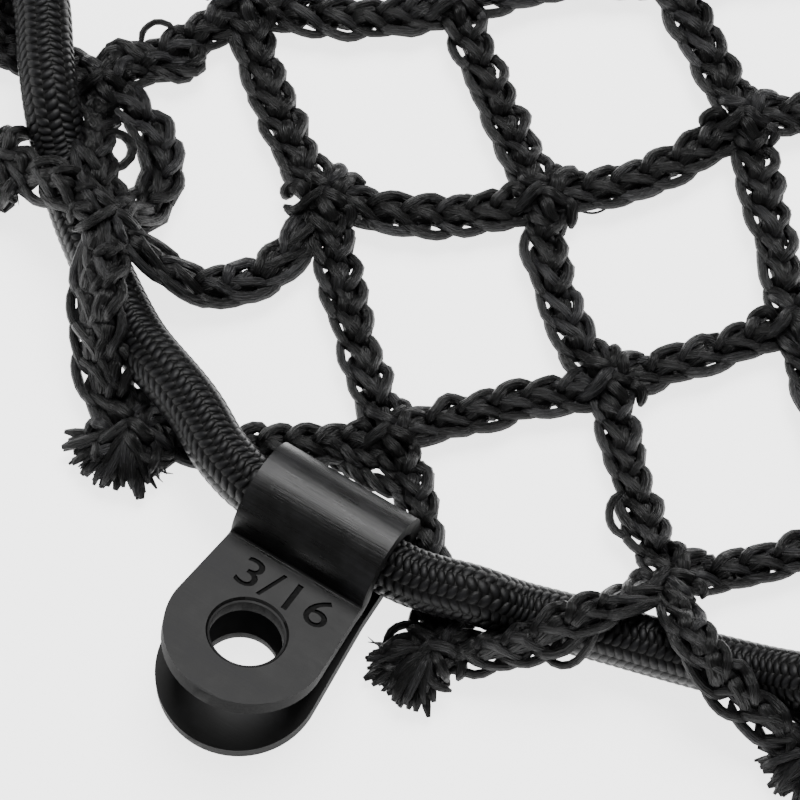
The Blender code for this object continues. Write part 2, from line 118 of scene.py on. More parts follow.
class Graph:
    """A material's nodes, added one at a time."""

    def __init__(self, name: str) -> None:
        """Starts a material with its Principled shader alone."""
        self.material = bpy.data.materials.new(name)
        self.material.use_nodes = True
        self.tree = self.material.node_tree
        self.shader = self.tree.nodes["Principled BSDF"]

    def add(self, kind: str, feeds: dict | tuple = (), output: int | str = 0,
            stops: tuple[tuple[float, str], ...] = (), **settings: object) -> bpy.types.NodeSocket:
        """Adds a node with its settings and links.

        Args:
            kind: The node's type, without the words that all of them start with.
            feeds: A socket or fixed value for each input, by name or in their order.
            output: Which output is wanted.
            stops: Each stop's place and sRGB code, on a colour ramp.
            settings: Attributes of the node.

        Returns:
            The output.
        """
        node = self.tree.nodes.new("ShaderNode" + kind)
        for name, value in settings.items():
            setattr(node, name, value)
        for index, (place, code) in enumerate(stops):
            if index == len(node.color_ramp.elements):
                node.color_ramp.elements.new(1.0)
            node.color_ramp.elements[index].position = place
            node.color_ramp.elements[index].color = srgb(code)
        for socket, value in feeds.items() if isinstance(feeds, dict) else enumerate(feeds):
            self.feed(node.inputs[socket], value)
        return node.outputs[output]

    def feed(self, socket: bpy.types.NodeSocket, value: object) -> None:
        """Links a socket to another, or gives it a fixed value."""
        if isinstance(value, bpy.types.NodeSocket):
            self.tree.links.new(value, socket)
        else:
            socket.default_value = value

    def finish(self, **inputs: object) -> bpy.types.Material:
        """Feeds the shader's inputs, by name with low lines for spaces.

        Args:
            inputs: Sockets or fixed values.

        Returns:
            The material.
        """
        for name, value in inputs.items():
            self.feed(self.shader.inputs[name.replace("_", " ")], value)
        return self.material


@dataclass(frozen=True)
class YarnFinish:
    """Black filament yarn, knitted."""

    dark: str = "060606"
    middle: str = "0b0b0b"
    # The light stop is the colour of the painted highlights on the hairlines.
    light: str = "343436"
    filaments: float = 24.0
    roughness: float = 0.37

    def material(self) -> bpy.types.Material:
        """Builds the material on the yarn's own UV map: millimetres along, turns round."""
        # Drawn polyester filament, dyed black and knitted: hairlines run along each strand, and the
        # strand shines across its run. The lighter hairlines are painted highlights in the base colour,
        # for filaments that catch the light. A filament is about 0.02 mm thick, too fine to show, so
        # the lines are drawn 0.09 mm wide.
        graph = Graph("knitted_yarn")
        place = graph.add("UVMap", uv_map="yarn")
        tint = graph.add("Attribute", output="Fac", attribute_name="tint")
        lines, clumps, fuzz = (
            graph.add("TexNoise", {"Vector": graph.add("Mapping", {"Vector": place, "Scale": scale}),
                                   "Scale": 1.0, "Detail": 2.0, "Roughness": strength})
            for scale, strength in (((0.9, self.filaments, 1.0), 0.6), ((0.5, 4.0, 1.0), 0.5),
                                    ((9.0, 40.0, 1.0), 0.5)))
        # The hairlines lift the base colour towards the light stop: painted highlights.
        weaker = graph.add("Math", (lines, 0.8), operation="MULTIPLY")
        shade = graph.add("Math", (tint, 0.35, weaker), operation="MULTIPLY_ADD")
        colour = graph.add("ValToRGB", (shade,),
                           stops=((0.34, self.dark), (0.58, self.middle), (0.84, self.light)))
        rough = graph.add("MapRange", {"Value": fuzz, "To Min": self.roughness - 0.12,
                                       "To Max": self.roughness + 0.15})
        soft = graph.add("Bump", {"Height": clumps, "Strength": 0.5, "Distance": 0.00025})
        fine = graph.add("Bump", {"Height": lines, "Strength": 1.0, "Distance": 0.0003, "Normal": soft})
        along = graph.add("Tangent", direction_type="UV_MAP", uv_map="yarn")
        return graph.finish(Base_Color=colour, Roughness=rough, Normal=fine, Specular_IOR_Level=0.34,
                            Anisotropic=0.6, Anisotropic_Rotation=0.25, Tangent=along)


@dataclass(frozen=True)
class SheathFinish:
    """The cord's braided sheath: slanted picks in wales that lean either way."""

    wales: int = 14
    pick: float = 0.58
    lean: float = 0.4
    leaf: float = 0.64
    dark: str = "040404"
    middle: str = "080808"
    # The light stop is the painted highlight on the leaves' crests.
    light: str = "1e1e20"

    def relief(self, graph: Graph, place: bpy.types.NodeSocket) -> bpy.types.NodeSocket:
        """Draws the braid's picks, each a slanted leaf.

        Args:
            graph: The material's nodes.
            place: Millimetres along and turns round.

        Returns:
            How far the surface stands out, from 0 to 1.
        """
        along, around = (graph.add("SeparateXYZ", (place,), output=axis) for axis in ("X", "Y"))
        wale = graph.add("Math", (around, float(self.wales)), operation="MULTIPLY")
        part = graph.add("Math", (wale,), operation="FRACT")
        across = graph.add("Math", (part, 0.5), operation="SUBTRACT")
        number = graph.add("Math", (wale,), operation="FLOOR")
        parity = graph.add("Math", (number, 1.0), operation="PINGPONG")
        slant = graph.add("MapRange", {"Value": parity, "To Min": -self.lean, "To Max": self.lean})
        leaning = graph.add("Math", (across, slant), operation="MULTIPLY")
        stagger = graph.add("Math", (parity, 0.5, leaning), operation="MULTIPLY_ADD")
        picks = graph.add("Math", (along, self.pick), operation="DIVIDE")
        phase = graph.add("Math", (picks, stagger), operation="ADD")
        part = graph.add("Math", (phase,), operation="FRACT")
        centred = graph.add("Math", (part, 0.5), operation="SUBTRACT")
        ahead = graph.add("Math", (centred, 2.0), operation="MULTIPLY")
        behind = graph.add("Math", (ahead, -1.0), operation="MULTIPLY")
        inside = graph.add("Math", (ahead, behind, 1.0), operation="MULTIPLY_ADD")
        wide = graph.add("Math", (across, self.leaf), operation="DIVIDE")
        squared = graph.add("Math", (wide, wide), operation="MULTIPLY")
        inside = graph.add("Math", (inside, squared), operation="SUBTRACT")
        inside = graph.add("Math", (inside, 0.0), operation="MAXIMUM")
        return graph.add("Math", (inside,), operation="SQRT")

    def material(self) -> bpy.types.Material:
        """Builds the material on the cord's own UV map: millimetres along, turns round."""
        # Polyester braided tightly round rubber strands: rows of small slanted leaves, with less shine
        # than the net. The colour is painted shade in the grooves between the leaves and a painted
        # highlight on their crests. A leaf is 0.58 mm long and 0.9 mm wide; its threads are about
        # 0.02 mm thick, too fine to show, and are drawn 0.05 mm wide.
        graph = Graph("braided_sheath")
        place = graph.add("UVMap", uv_map="sheath")
        relief = self.relief(graph, place)
        threads, mottle = (
            graph.add("TexNoise", {"Vector": graph.add("Mapping", {"Vector": place, "Scale": scale}),
                                   "Scale": 1.0, "Detail": layers, "Roughness": 0.5})
            for scale, layers in (((7.0, 260.0, 1.0), 2.0), ((0.35, 6.0, 1.0), 3.0)))
        # The leaves' relief sets the colour: painted shade in the grooves, painted highlight on the crests.
        weaker = graph.add("Math", (relief, 0.7), operation="MULTIPLY")
        shade = graph.add("Math", (mottle, 0.35, weaker), operation="MULTIPLY_ADD")
        colour = graph.add("ValToRGB", (shade,),
                           stops=((0.3, self.dark), (0.65, self.middle), (0.95, self.light)))
        woven = graph.add("Bump", {"Height": relief, "Strength": 0.8, "Distance": 0.00016})
        fine = graph.add("Bump", {"Height": threads, "Strength": 0.35, "Distance": 0.00005, "Normal": woven})
        return graph.finish(Base_Color=colour, Normal=fine, Roughness=0.4, Specular_IOR_Level=0.2)


@dataclass(frozen=True)
class NylonFinish:
    """Black moulded nylon, on the clip's own place in millimetres."""

    dark: str = "050505"
    middle: str = "0d0d0d"
    light: str = "222224"
    wall_dark: str = "090909"
    wall_light: str = "161616"
    loop_end: float = 3.9

    def material(self) -> bpy.types.Material:
        """Builds the finish of the faces that the mould's polished sides leave."""
        # Nylon 66 moulded in a polished mould: satin black that goes pale and dull in smudges about
        # 4 mm wide where fingers held it, with scuffs 0.24 mm wide that run along the loop, and a
        # skin that is never quite smooth, in grains of 0.07 mm.
        graph = Graph("moulded_nylon")
        place = graph.add("Attribute", output="Vector", attribute_name="clip_place")
        ahead = graph.add("SeparateXYZ", (place,))
        on_loop = graph.add("Math", (ahead, self.loop_end), operation="LESS_THAN")
        brushed, smudges, grain = (
            graph.add("TexNoise", {"Vector": graph.add("Mapping", {"Vector": place, "Scale": scale}),
                                   "Scale": 1.0, "Detail": layers, "Roughness": strength})
            for scale, layers, strength in (((4.2, 0.14, 4.2), 5.0, 0.7), ((0.28, 0.28, 0.28), 4.0, 0.6),
                                            ((14.0, 14.0, 14.0), 3.0, 0.5)))
        centred = graph.add("Math", (brushed, 0.5), operation="SUBTRACT")
        strength = graph.add("MapRange", {"Value": on_loop, "To Min": 0.3, "To Max": 1.3})
        streaks = graph.add("Math", (centred, strength, 0.5), operation="MULTIPLY_ADD")
        weaker = graph.add("Math", (smudges, 0.85), operation="MULTIPLY")
        shade = graph.add("Math", (streaks, 0.3, weaker), operation="MULTIPLY_ADD")
        colour = graph.add("ValToRGB", (shade,),
                           stops=((0.35, self.dark), (0.55, self.middle), (0.8, self.light)))
        weaker = graph.add("Math", (smudges, 0.8), operation="MULTIPLY")
        scuffs = graph.add("Math", (streaks, 0.6, weaker), operation="MULTIPLY_ADD")
        worn = graph.add("MapRange", {"Value": scuffs, "To Min": 0.03, "To Max": 0.43})
        duller = graph.add("MapRange", {"Value": on_loop, "To Min": 0.24, "To Max": 0.0})
        rough = graph.add("Math", (worn, duller), operation="ADD")
        soft = graph.add("Bump", {"Height": streaks, "Strength": 0.5, "Distance": 0.00005})
        fine = graph.add("Bump", {"Height": grain, "Strength": 0.2, "Distance": 0.00002, "Normal": soft})
        return graph.finish(Base_Color=colour, Roughness=rough, Normal=fine, Specular_IOR_Level=0.3)

    def wall_material(self) -> bpy.types.Material:
        """Builds the duller finish of the clip's walls and of its sunk number."""
        # The same nylon against unpolished steel: an even dull charcoal with a grain of 0.2 mm and
        # hardly a highlight, so the walls stand off the shining faces.
        graph = Graph("moulded_nylon_walls")
        place = graph.add("Attribute", output="Vector", attribute_name="clip_place")
        stretched = graph.add("Mapping", {"Vector": place, "Scale": (5.0, 5.0, 5.0)})
        grain = graph.add("TexNoise", {"Vector": stretched, "Scale": 1.0, "Detail": 3.0, "Roughness": 0.5})
        colour = graph.add("ValToRGB", (grain,), stops=((0.35, self.wall_dark), (0.7, self.wall_light)))
        fine = graph.add("Bump", {"Height": grain, "Strength": 0.3, "Distance": 0.00004})
        return graph.finish(Base_Color=colour, Roughness=0.62, Normal=fine, Specular_IOR_Level=0.06)


@dataclass(frozen=True)
class FloorFinish:
    """The studio's plain white table."""

    colour: str = "f2f2f2"
    light: str = "ffffff"
    glow: float = 2.8

    def material(self) -> bpy.types.Material:
        """Builds the material."""
        # Opal acrylic lit from below: an even white that keeps only the softest shadows.
        graph = Graph("white_table")
        return graph.finish(Base_Color=srgb(self.colour), Roughness=0.9, Specular_IOR_Level=0.2,
                            Emission_Color=srgb(self.light), Emission_Strength=self.glow)


# ------------------------------------------------------------ shared shapes
def unit(ways: np.ndarray) -> np.ndarray:
    """Makes ways one long."""
    return ways / np.maximum(np.linalg.norm(ways, axis=-1, keepdims=True), TINY)


def left_of(ways: np.ndarray) -> np.ndarray:
    """Turns flat ways a quarter to their left."""
    return np.stack([-ways[..., 1], ways[..., 0]], axis=-1)


def curve(before: np.ndarray, start: np.ndarray, end: np.ndarray, after: np.ndarray,
          share: np.ndarray) -> np.ndarray:
    """Works out a Catmull-Rom curve from one point to the next.

    Args:
        before: The point before the start.
        start: Where the stretch starts.
        end: Where it ends.
        after: The point after the end.
        share: How far along the stretch, from 0 to 1.

    Returns:
        Places on the curve.
    """
    return 0.5 * (2 * start + (end - before) * share
                  + (2 * before - 5 * start + 4 * end - after) * share ** 2
                  + (3 * start - before - 3 * end + after) * share ** 3)


def smooth_path(points: np.ndarray, rings: int) -> np.ndarray:
    """Samples a smooth curve through points.

    Args:
        points: The points, on the last axis but one.
        rings: How many samples it gives.

    Returns:
        The samples, in the points' place.
    """
    count = points.shape[-2]
    padded = np.concatenate([2 * points[..., :1, :] - points[..., 1:2, :], points,
                             2 * points[..., -1:, :] - points[..., -2:-1, :]], axis=-2)
    at = np.linspace(0.0, count - 1.0, rings)
    index = np.minimum(at.astype(int), count - 2)
    return curve(*(padded[..., index + k, :] for k in range(4)), (at - index)[:, None])


def sections(centres: np.ndarray, ways: np.ndarray, half_widths: np.ndarray,
             half_thicknesses: np.ndarray, sides: int) -> np.ndarray:
    """Puts an oval section round each centre.

    Args:
        centres: The sections' middles.
        ways: Which way the tube runs at each.
        half_widths: Half the width of each section, or of each of its corners.
        half_thicknesses: Half the thickness in the same way.
        sides: Corners of a section.

    Returns:
        The corners' places, with one more axis for the corners.
    """
    ways = unit(ways)
    side = unit(np.cross(ways, np.array((0.0, 0.0, 1.0))))
    up = np.cross(side, ways)
    turn = 2.0 * np.pi * np.arange(sides) / sides
    return (centres[..., None, :] + side[..., None, :] * (half_widths * np.cos(turn))[..., None]
            + up[..., None, :] * (half_thicknesses * np.sin(turn))[..., None])


def tube_faces(grid: np.ndarray, along: np.ndarray) -> tuple[np.ndarray, np.ndarray]:
    """Joins the sections of tubes with four-sided faces.

    Args:
        grid: The corners' numbers, with rings and sides on the last two axes.
        along: How far along its tube each ring is.

    Returns:
        The faces' corners, and each one's place on the UV map.
    """
    turned, sides = np.roll(grid, -1, axis=-1), grid.shape[-1]
    faces = np.stack([grid[..., :-1, :], grid[..., 1:, :], turned[..., 1:, :], turned[..., :-1, :]], axis=-1)
    here = np.broadcast_to(along[..., :-1, None], faces.shape[:-1])
    there = np.broadcast_to(along[..., 1:, None], faces.shape[:-1])
    around = np.broadcast_to(np.arange(sides) / sides, faces.shape[:-1])
    u = np.stack([here, there, there, here], axis=-1)
    v = np.stack([around, around, around + 1.0 / sides, around + 1.0 / sides], axis=-1)
    return faces, np.stack([u, v], axis=-1)


def place_in_scene(name: str, data: bpy.types.ID) -> bpy.types.Object:
    """Makes an object of a mesh, light or camera and links it to the scene."""
    thing = bpy.data.objects.new(name, data)
    bpy.context.scene.collection.objects.link(thing)
    return thing


def make_piece(name: str, places: np.ndarray, corners: np.ndarray, starts: np.ndarray,
               uv_name: str, uvs: np.ndarray, material: bpy.types.Material) -> bpy.types.Object:
    """Makes a smooth piece from arrays.

    Args:
        name: Its name.
        places: The vertices, in metres.
        corners: The faces' corners one after another.
        starts: Where each face starts among them.
        uv_name: The UV map's name.
        uvs: Each corner's place on it.
        material: The finish it wears.

    Returns:
        The piece, at the origin.
    """
    mesh = bpy.data.meshes.new(name)
    mesh.vertices.add(len(places))
    mesh.vertices.foreach_set("co", places.astype(np.float32).reshape(-1))
    mesh.loops.add(len(corners))
    mesh.loops.foreach_set("vertex_index", corners.astype(np.int32))
    mesh.polygons.add(len(starts))
    mesh.polygons.foreach_set("loop_start", starts.astype(np.int32))
    mesh.update(calc_edges=True)
    layer = mesh.uv_layers.new(name=uv_name)
    layer.data.foreach_set("uv", uvs.astype(np.float32).reshape(-1))
    mesh.shade_smooth()
    mesh.materials.append(material)
    return place_in_scene(name, mesh)


# ------------------------------------------------------------------ lattice
@dataclass(frozen=True)
class Bar:
    """One bar of the net between two joints, or what the cut leaves of it."""

    kind: Knit
    column: int
    row: int
    start: np.ndarray
    end: np.ndarray
    bow: np.ndarray
    kept: tuple[float, float] = (0.0, 1.0)

    @property
    def length(self) -> float:
        """The distance between its joints."""
        return float(np.linalg.norm(self.end - self.start))

    @property
    def whole(self) -> bool:
        """True for a bar that reaches both joints."""
        return self.kept == (0.0, 1.0)

    def middle_line(self, along: np.ndarray) -> np.ndarray:
        """Points of its middle line, from 0 at its first joint to 1 at its second."""
        share = np.asarray(along)[..., None]
        return self.start + (self.end - self.start) * share + self.bow * (4.0 * share * (1.0 - share))

    def place(self, along: np.ndarray, aside: np.ndarray) -> np.ndarray:
        """Finds points beside the middle line.

        Args:
            along: How far along the bar, from 0 to 1.
            aside: How far towards the loops' side, in millimetres.

        Returns:
            East and north of each point.
        """
        way = (self.end - self.start) + self.bow * (4.0 * (1.0 - 2.0 * np.asarray(along)[..., None]))
        left = left_of(unit(way))
        return self.middle_line(along) + left * (self.kind.loop_side * np.asarray(aside)[..., None])


@dataclass(frozen=True)
class Lattice:
    """Where the net's joints and bars lie, as its frame has them."""

    meshes_x: int = 14
    meshes_y: int = 10
    pitch: float = 14.3
    edge_pitch: float = 12.2
    selvedge_pitch: float = 9.4
    wave: float = 0.55
    bar_wave: float = 0.4
    tail_length: float = 3.7
    stub_length: float = 2.9
    outermost: int = 2

    # Turns of the uneven grid's waves: by column, by row, and at the corner.
    EAST_WAVE: ClassVar[tuple] = (1.9, 0.8, 0.6)
    NORTH_WAVE: ClassVar[tuple] = (-0.9, 1.3, 2.1)
    BOW_WAVE: ClassVar[dict] = {Knit.ROW: (2.3, 1.7, 0.9), Knit.COLUMN: (2.3, 1.7, 0.0)}

    # How far east and north a joint is pulled off the even grid, by column and row. The first table
    # is for every corner, counted inwards from it, and the second for the photographed one alone.
    CORNER_JOINTS: ClassVar[dict] = {
        (0, 4): (-0.8, -0.3), (0, 3): (-2.3, 2.5), (0, 2): (-5.0, 3.3), (1, 1): (-0.6, -1.8),
        (2, 0): (5.6, -2.3), (-1, 3): (0.4, 6.6), (-1, 4): (0.9, 5.7), (3, -1): (2.4, 0.0),
        (4, -1): (1.0, 0.0)}
    SOUTHWEST_JOINTS: ClassVar[dict] = {
        (1, 2): (0.0, -0.9), (2, 2): (0.6, -0.5), (3, 2): (-0.9, 1.0), (1, 3): (-0.4, 2.3),
        (2, 3): (-0.5, -0.9), (3, 3): (-0.4, 1.6), (1, 4): (-2.3, 3.4), (2, 4): (-2.9, -0.1),
        (3, 4): (-2.7, -1.3), (4, 4): (-2.2, -2.6), (2, 1): (1.2, -0.6), (3, 1): (-0.7, -0.3),
        (1, 5): (-2.4, 2.4), (2, 5): (-2.4, 0.2), (3, 5): (-2.0, -1.4), (0, 2): (-4.3, 3.2),
        (2, 0): (8.0, -1.7), (-1, 3): (0.4, 9.4)}
    # How far east and north the middle of a bar bows, in two tables of the same kinds.
    CORNER_BENDS: ClassVar[dict] = {
        Knit.ROW: {(0, 2): (0.0, -0.3), (0, 3): (-0.6, -3.0), (1, 1): (-0.3, -3.0)},
        Knit.COLUMN: {(-1, 3): (-1.0, 0.0), (0, 2): (-2.1, 0.2), (0, 3): (2.4, -0.4),
                      (0, 4): (-5.2, 0.0), (1, 1): (2.0, 0.1)}}
    SOUTHWEST_BENDS: ClassVar[dict] = {
        Knit.ROW: {(-1, 4): (-0.2, -0.3), (0, 2): (0.0, -0.8), (0, 3): (-0.3, -4.8), (0, 4): (0.1, -0.3),
                   (1, 1): (-0.3, -2.0), (1, 2): (-0.1, 0.3), (1, 3): (0.2, -1.2), (1, 4): (-0.2, -0.9),
                   (2, 1): (0.0, -0.1), (2, 2): (0.0, -0.2), (2, 3): (0.0, -1.1), (2, 4): (0.0, 1.0)},
        Knit.COLUMN: {(0, 3): (3.5, -0.8), (1, 1): (1.0, 0.0), (1, 2): (-0.4, 0.2), (1, 3): (-0.8, -0.2),
                      (2, 0): (-2.6, -0.9), (2, 1): (-0.5, -0.2), (2, 2): (-1.3, 0.0),
                      (3, 2): (0.1, 0.0), (3, 3): (0.0, 0.0)}}
    # Lengths of the tails that the cut leaves shorter at the photographed corner.
    SOUTHWEST_TAILS: ClassVar[dict] = {
        Knit.ROW: {(-1, 2): 2.6, (0, 1): 3.0, (1, 0): 2.2},
        Knit.COLUMN: {(0, 1): 2.9, (1, 0): 1.3, (2, -1): 2.4}}

    def line_place(self, index: int, meshes: int) -> float:
        """Where a column or row of the even grid lies, from the corner joint."""
        if index < 0:
            return index * self.selvedge_pitch
        if index > meshes:
            return self.line_place(meshes, meshes) + (index - meshes) * self.selvedge_pitch
        inner = min(max(index - 1, 0), meshes - 2) * self.pitch
        return inner + self.edge_pitch * (min(index, 1) + (index == meshes))

    @property
    def width(self) -> float:
        """From the first inner column to the last."""
        return self.line_place(self.meshes_x, self.meshes_x)

    @property
    def depth(self) -> float:
        """From the first inner row to the last."""
        return self.line_place(self.meshes_y, self.meshes_y)

    def from_corner(self, column: int, row: int) -> tuple[int, int, int, int]:
        """Counts a joint inwards from its nearest corner, with that corner's signs."""
        east = 1 if 2 * column <= self.meshes_x else -1
        north = 1 if 2 * row <= self.meshes_y else -1
        near_column = column if east > 0 else self.meshes_x - column
        near_row = row if north > 0 else self.meshes_y - row
        return near_column, near_row, east, north

    def is_joint(self, column: int, row: int) -> bool:
        """True where the cut panel has a joint; its corners are trimmed off."""
        near_column, near_row, _, _ = self.from_corner(column, row)
        return near_column >= -1 and near_row >= -1 and near_column + near_row >= 2

    @staticmethod
    def ripple(wave: tuple, column: int, row: int) -> float:
        """How high a wave of the uneven grid is at a column and row."""
        return math.sin(wave[0] * column + wave[1] * row + wave[2])

    def joint_place(self, column: int, row: int) -> np.ndarray:
        """Where a joint lies in the finished panel."""
        x, y = self.line_place(column, self.meshes_x), self.line_place(row, self.meshes_y)
        near_column, near_row, east, north = self.from_corner(column, row)
        pulled = self.SOUTHWEST_JOINTS.get((column, row)) or self.CORNER_JOINTS.get((near_column, near_row))
        if pulled:
            return np.array((x + east * pulled[0], y + north * pulled[1]))
        inside = 1.0 if min(near_column, near_row) > 0 else 0.0
        x += inside * self.wave * self.ripple(self.EAST_WAVE, column, row)
        y += inside * self.wave * self.ripple(self.NORTH_WAVE, column, row)
        return np.array((x, y))

    def bar_bow(self, kind: Knit, column: int, row: int) -> np.ndarray:
        """How far the middle of a bar bows away from its chord."""
        mirrored_column = self.meshes_x - column - (kind is Knit.ROW)
        mirrored_row = self.meshes_y - row - (kind is Knit.COLUMN)
        east = 1 if column <= mirrored_column else -1
        north = 1 if row <= mirrored_row else -1
        near = min(column, mirrored_column), min(row, mirrored_row)
        bend = self.SOUTHWEST_BENDS[kind].get((column, row)) or self.CORNER_BENDS[kind].get(near)
        if bend:
            return np.array((east * bend[0], north * bend[1]))
        if min(near) < 1:
            return np.zeros(2)
        sway = self.bar_wave * self.ripple(self.BOW_WAVE[kind], column, row)
        return np.array((0.0, sway)) if kind is Knit.ROW else np.array((sway, 0.0))

    def bars(self) -> Iterator[Bar]:
        """Each bar of the net, and what the cut leaves of a bar beyond its edge."""
        for kind in Knit:
            for column in range(-self.outermost, self.meshes_x + self.outermost):
                for row in range(-self.outermost, self.meshes_y + self.outermost):
                    second = (column + 1, row) if kind is Knit.ROW else (column, row + 1)
                    has_first, has_second = self.is_joint(column, row), self.is_joint(*second)
                    if not (has_first or has_second):
                        continue
                    start, end = self.joint_place(column, row), self.joint_place(*second)
                    near = self.from_corner(*((column, row) if has_first else second))
                    cut = self.tail_length if min(near[:2]) >= 0 else self.stub_length
                    cut = self.SOUTHWEST_TAILS[kind].get((column, row), cut)
                    share = cut / float(np.linalg.norm(end - start))
                    kept = (0.0 if has_first else 1.0 - share, 1.0 if has_second else share)
                    yield Bar(kind, column, row, start, end, self.bar_bow(kind, column, row), kept)

    def joints(self) -> Iterator[tuple[int, int, np.ndarray]]:
        """Each joint's column, row and place."""
        for column in range(-1, self.meshes_x + 2):
            for row in range(-1, self.meshes_y + 2):
                if self.is_joint(column, row):
                    yield column, row, self.joint_place(column, row)

    def to_panel(self, places: np.ndarray) -> np.ndarray:
        """Turns millimetres from the corner joint into metres about the panel's middle."""
        return (places - np.array((self.width / 2, self.depth / 2, 0.0))) * MM


# --------------------------------------------------------------- cord route
@dataclass
class CordRoute:
    """The elastic cord's way round the panel, over and under its bars."""

    lattice: Lattice
    radius: float = 1.95
    outset: float = 4.4
    low: float = 2.25
    high: float = 3.54
    step: float = 0.4
    side_start: int = 71
    side_end: int = 65
    side_step: int = 13
    steps_between: int = 12
    bar_samples: int = 16
    batch: int = 4096
    crossing_reach: float = 2.7
    touching: float = 0.5
    softening: int = 3
    clip_place: tuple[float, float] = (6.6, 19.5)
    clip_reach: float = 5.4
    # How the net's yarn lies on the cord.
    yarn_gap: float = 0.08
    yarn_slope: float = math.radians(44.0)
    yarn_easing: float = 0.5
    yarn_sinking: float = 0.12
    yarn_height: float = 2.15
    least_squeeze: float = 0.6
    press_reach: float = 1.8
    press_slope: float = 0.55
    drape_reach: float = 8.0
    drape_limit: float = 1.6
    points: np.ndarray = field(init=False)
    heights: np.ndarray = field(init=False)
    bar_above: np.ndarray = field(init=False)
    bar_below: np.ndarray = field(init=False)
    length: float = field(init=False)

    # One corner, from the west side to the south side: east, north.
    CORNER: ClassVar[tuple] = (
        (-4.4, 66.0), (-3.7, 61.0), (-4.3, 56.0), (-4.6, 51.0), (-4.2, 44.4), (-2.5, 36.0), (0.1, 29.6),
        (1.1, 26.3), (2.6, 23.5), (4.6, 21.5), (6.6, 19.5), (8.6, 17.5), (10.6, 15.5), (12.3, 14.3),
        (14.8, 13.0), (18.2, 11.3), (21.9, 9.3), (27.7, 6.0), (33.8, 2.7), (39.5, -1.2), (45.5, -3.8),
        (52.0, -4.4), (59.0, -4.4))

    def __post_init__(self) -> None:
        """Works out the route and its heights."""
        self.points, self.length = self.even_loop(self.set_points())
        kinds = self.crossing_kinds()
        self.heights = self.work_out_heights(kinds)
        self.bar_above = self.points[[k for k, over in enumerate(kinds) if over]]
        self.bar_below = self.points[[k for k, over in enumerate(kinds) if over is False]]

    def set_points(self) -> np.ndarray:
        """The given points all the way round."""
        width, depth = self.lattice.width, self.lattice.depth
        southwest = list(self.CORNER)
        southeast = [(width - x, y) for x, y in reversed(southwest)]
        northeast = [(width - x, depth - y) for x, y in southwest]
        northwest = [(x, depth - y) for x, y in reversed(southwest)]
        stops = range(self.side_start, int(width) - self.side_end, self.side_step)
        south = [(float(x), -self.outset) for x in stops]
        north = [(width - x, depth + self.outset) for x, _ in south]
        return np.array(southwest + south + southeast + northeast + north + northwest)

    def even_loop(self, given: np.ndarray) -> tuple[np.ndarray, float]:
        """Spaces points evenly along a closed smooth curve.

        Args:
            given: The points to pass through.

        Returns:
            The even points, and the loop's length.
        """
        around = [np.roll(given, shift, 0)[:, None, :] for shift in (1, 0, -1, -2)]
        share = (np.arange(self.steps_between) / self.steps_between)[None, :, None]
        fine = curve(*around, share).reshape(-1, 2)
        closed = np.vstack([fine, fine[:1]])
        lengths = np.concatenate([[0.0], np.cumsum(np.linalg.norm(np.diff(closed, axis=0), axis=1))])
        count = round(float(lengths[-1]) / self.step)
        wanted = lengths[-1] * np.arange(count) / count
        even = np.stack([np.interp(wanted, lengths, closed[:, axis]) for axis in range(2)], axis=1)
        return even, float(lengths[-1])

    def bar_is_over(self, bar: Bar) -> bool:
        """Whether a border bar passes over the cord: every other one does."""
        near_column, near_row, _, _ = self.lattice.from_corner(bar.column, bar.row)
        if bar.kind is Knit.ROW:
            return near_row % 2 == 1 and near_row < 5
        return near_column % 2 == 0 and (near_column > 0 or near_row < 4)

    def crossing_kinds(self) -> list[bool | None]:
        """For each point of the route, whether a bar is over it, under it or neither."""
        kinds: list[bool | None] = [None] * len(self.points)
        nearest = np.full(len(self.points), self.crossing_reach)
        for bar in self.lattice.bars():
            line = bar.middle_line(np.arange(self.bar_samples + 1) / self.bar_samples)
            away = np.linalg.norm(self.points[:, None, :] - line[None, :, :], axis=2).min(axis=1)
            if not bar.whole or away.min() > self.touching:
                continue
            for index in np.nonzero(away < nearest)[0]:
                nearest[index] = away[index]
                kinds[index] = self.bar_is_over(bar)
        return kinds

    def work_out_heights(self, kinds: list[bool | None]) -> np.ndarray:
        """The height of the cord's middle at each point.

        Args:
            kinds: Whether a bar is over each point, under it or neither.

        Returns:
            The heights, eased between the crossings and the clips.
        """
        known = np.array([np.nan if over is None else self.low if over else self.high for over in kinds])
        east, north = self.clip_place
        for x in (east, self.lattice.width - east):
            for y in (north, self.lattice.depth - north):
                known[np.linalg.norm(self.points - (x, y), axis=1) < self.clip_reach] = self.high
        places = np.nonzero(~np.isnan(known))[0]
        for here, after in zip(places, np.append(places[1:], places[0] + len(known))):
            steps = np.arange(here + 1, after)
            share = (steps - here) / (after - here)
            rise = known[after % len(known)] - known[here]
            known[steps % len(known)] = known[here] + rise * share * share * (3.0 - 2.0 * share)
        return np.mean([np.roll(known, k) for k in range(-self.softening, self.softening + 1)], axis=0)

    def distance(self, places: np.ndarray, line: np.ndarray) -> np.ndarray:
        """How far each place is from the nearest of a line's points."""
        batches = np.array_split(places, len(places) // self.batch + 1)
        found = [np.linalg.norm(some[:, None, :] - line, axis=2).min(axis=1) for some in batches]
        return np.concatenate(found)

    def drape(self, places: np.ndarray, heights: np.ndarray) -> np.ndarray:
        """Lays yarn over and under the cord.

        Args:
            places: East and north of each point of the yarn.
            heights: How high it would be with no cord there.

        Returns:
            How high it is.
        """
        flat, high = places.reshape(-1, 2), heights.reshape(-1)
        over, under = self.distance(flat, self.bar_above), self.distance(flat, self.bar_below)
        # Over the cord the yarn follows its round back, then slopes down and eases into the flat.
        reach = self.radius + self.yarn_gap
        near = np.minimum(over, reach * math.sin(self.yarn_slope))
        arch = self.low + np.sqrt(reach ** 2 - near ** 2) - math.tan(self.yarn_slope) * (over - near)
        eased = 0.5 * (arch + np.sqrt(arch ** 2 + self.yarn_easing))
        arch = eased - self.yarn_sinking * np.exp(-np.abs(arch))
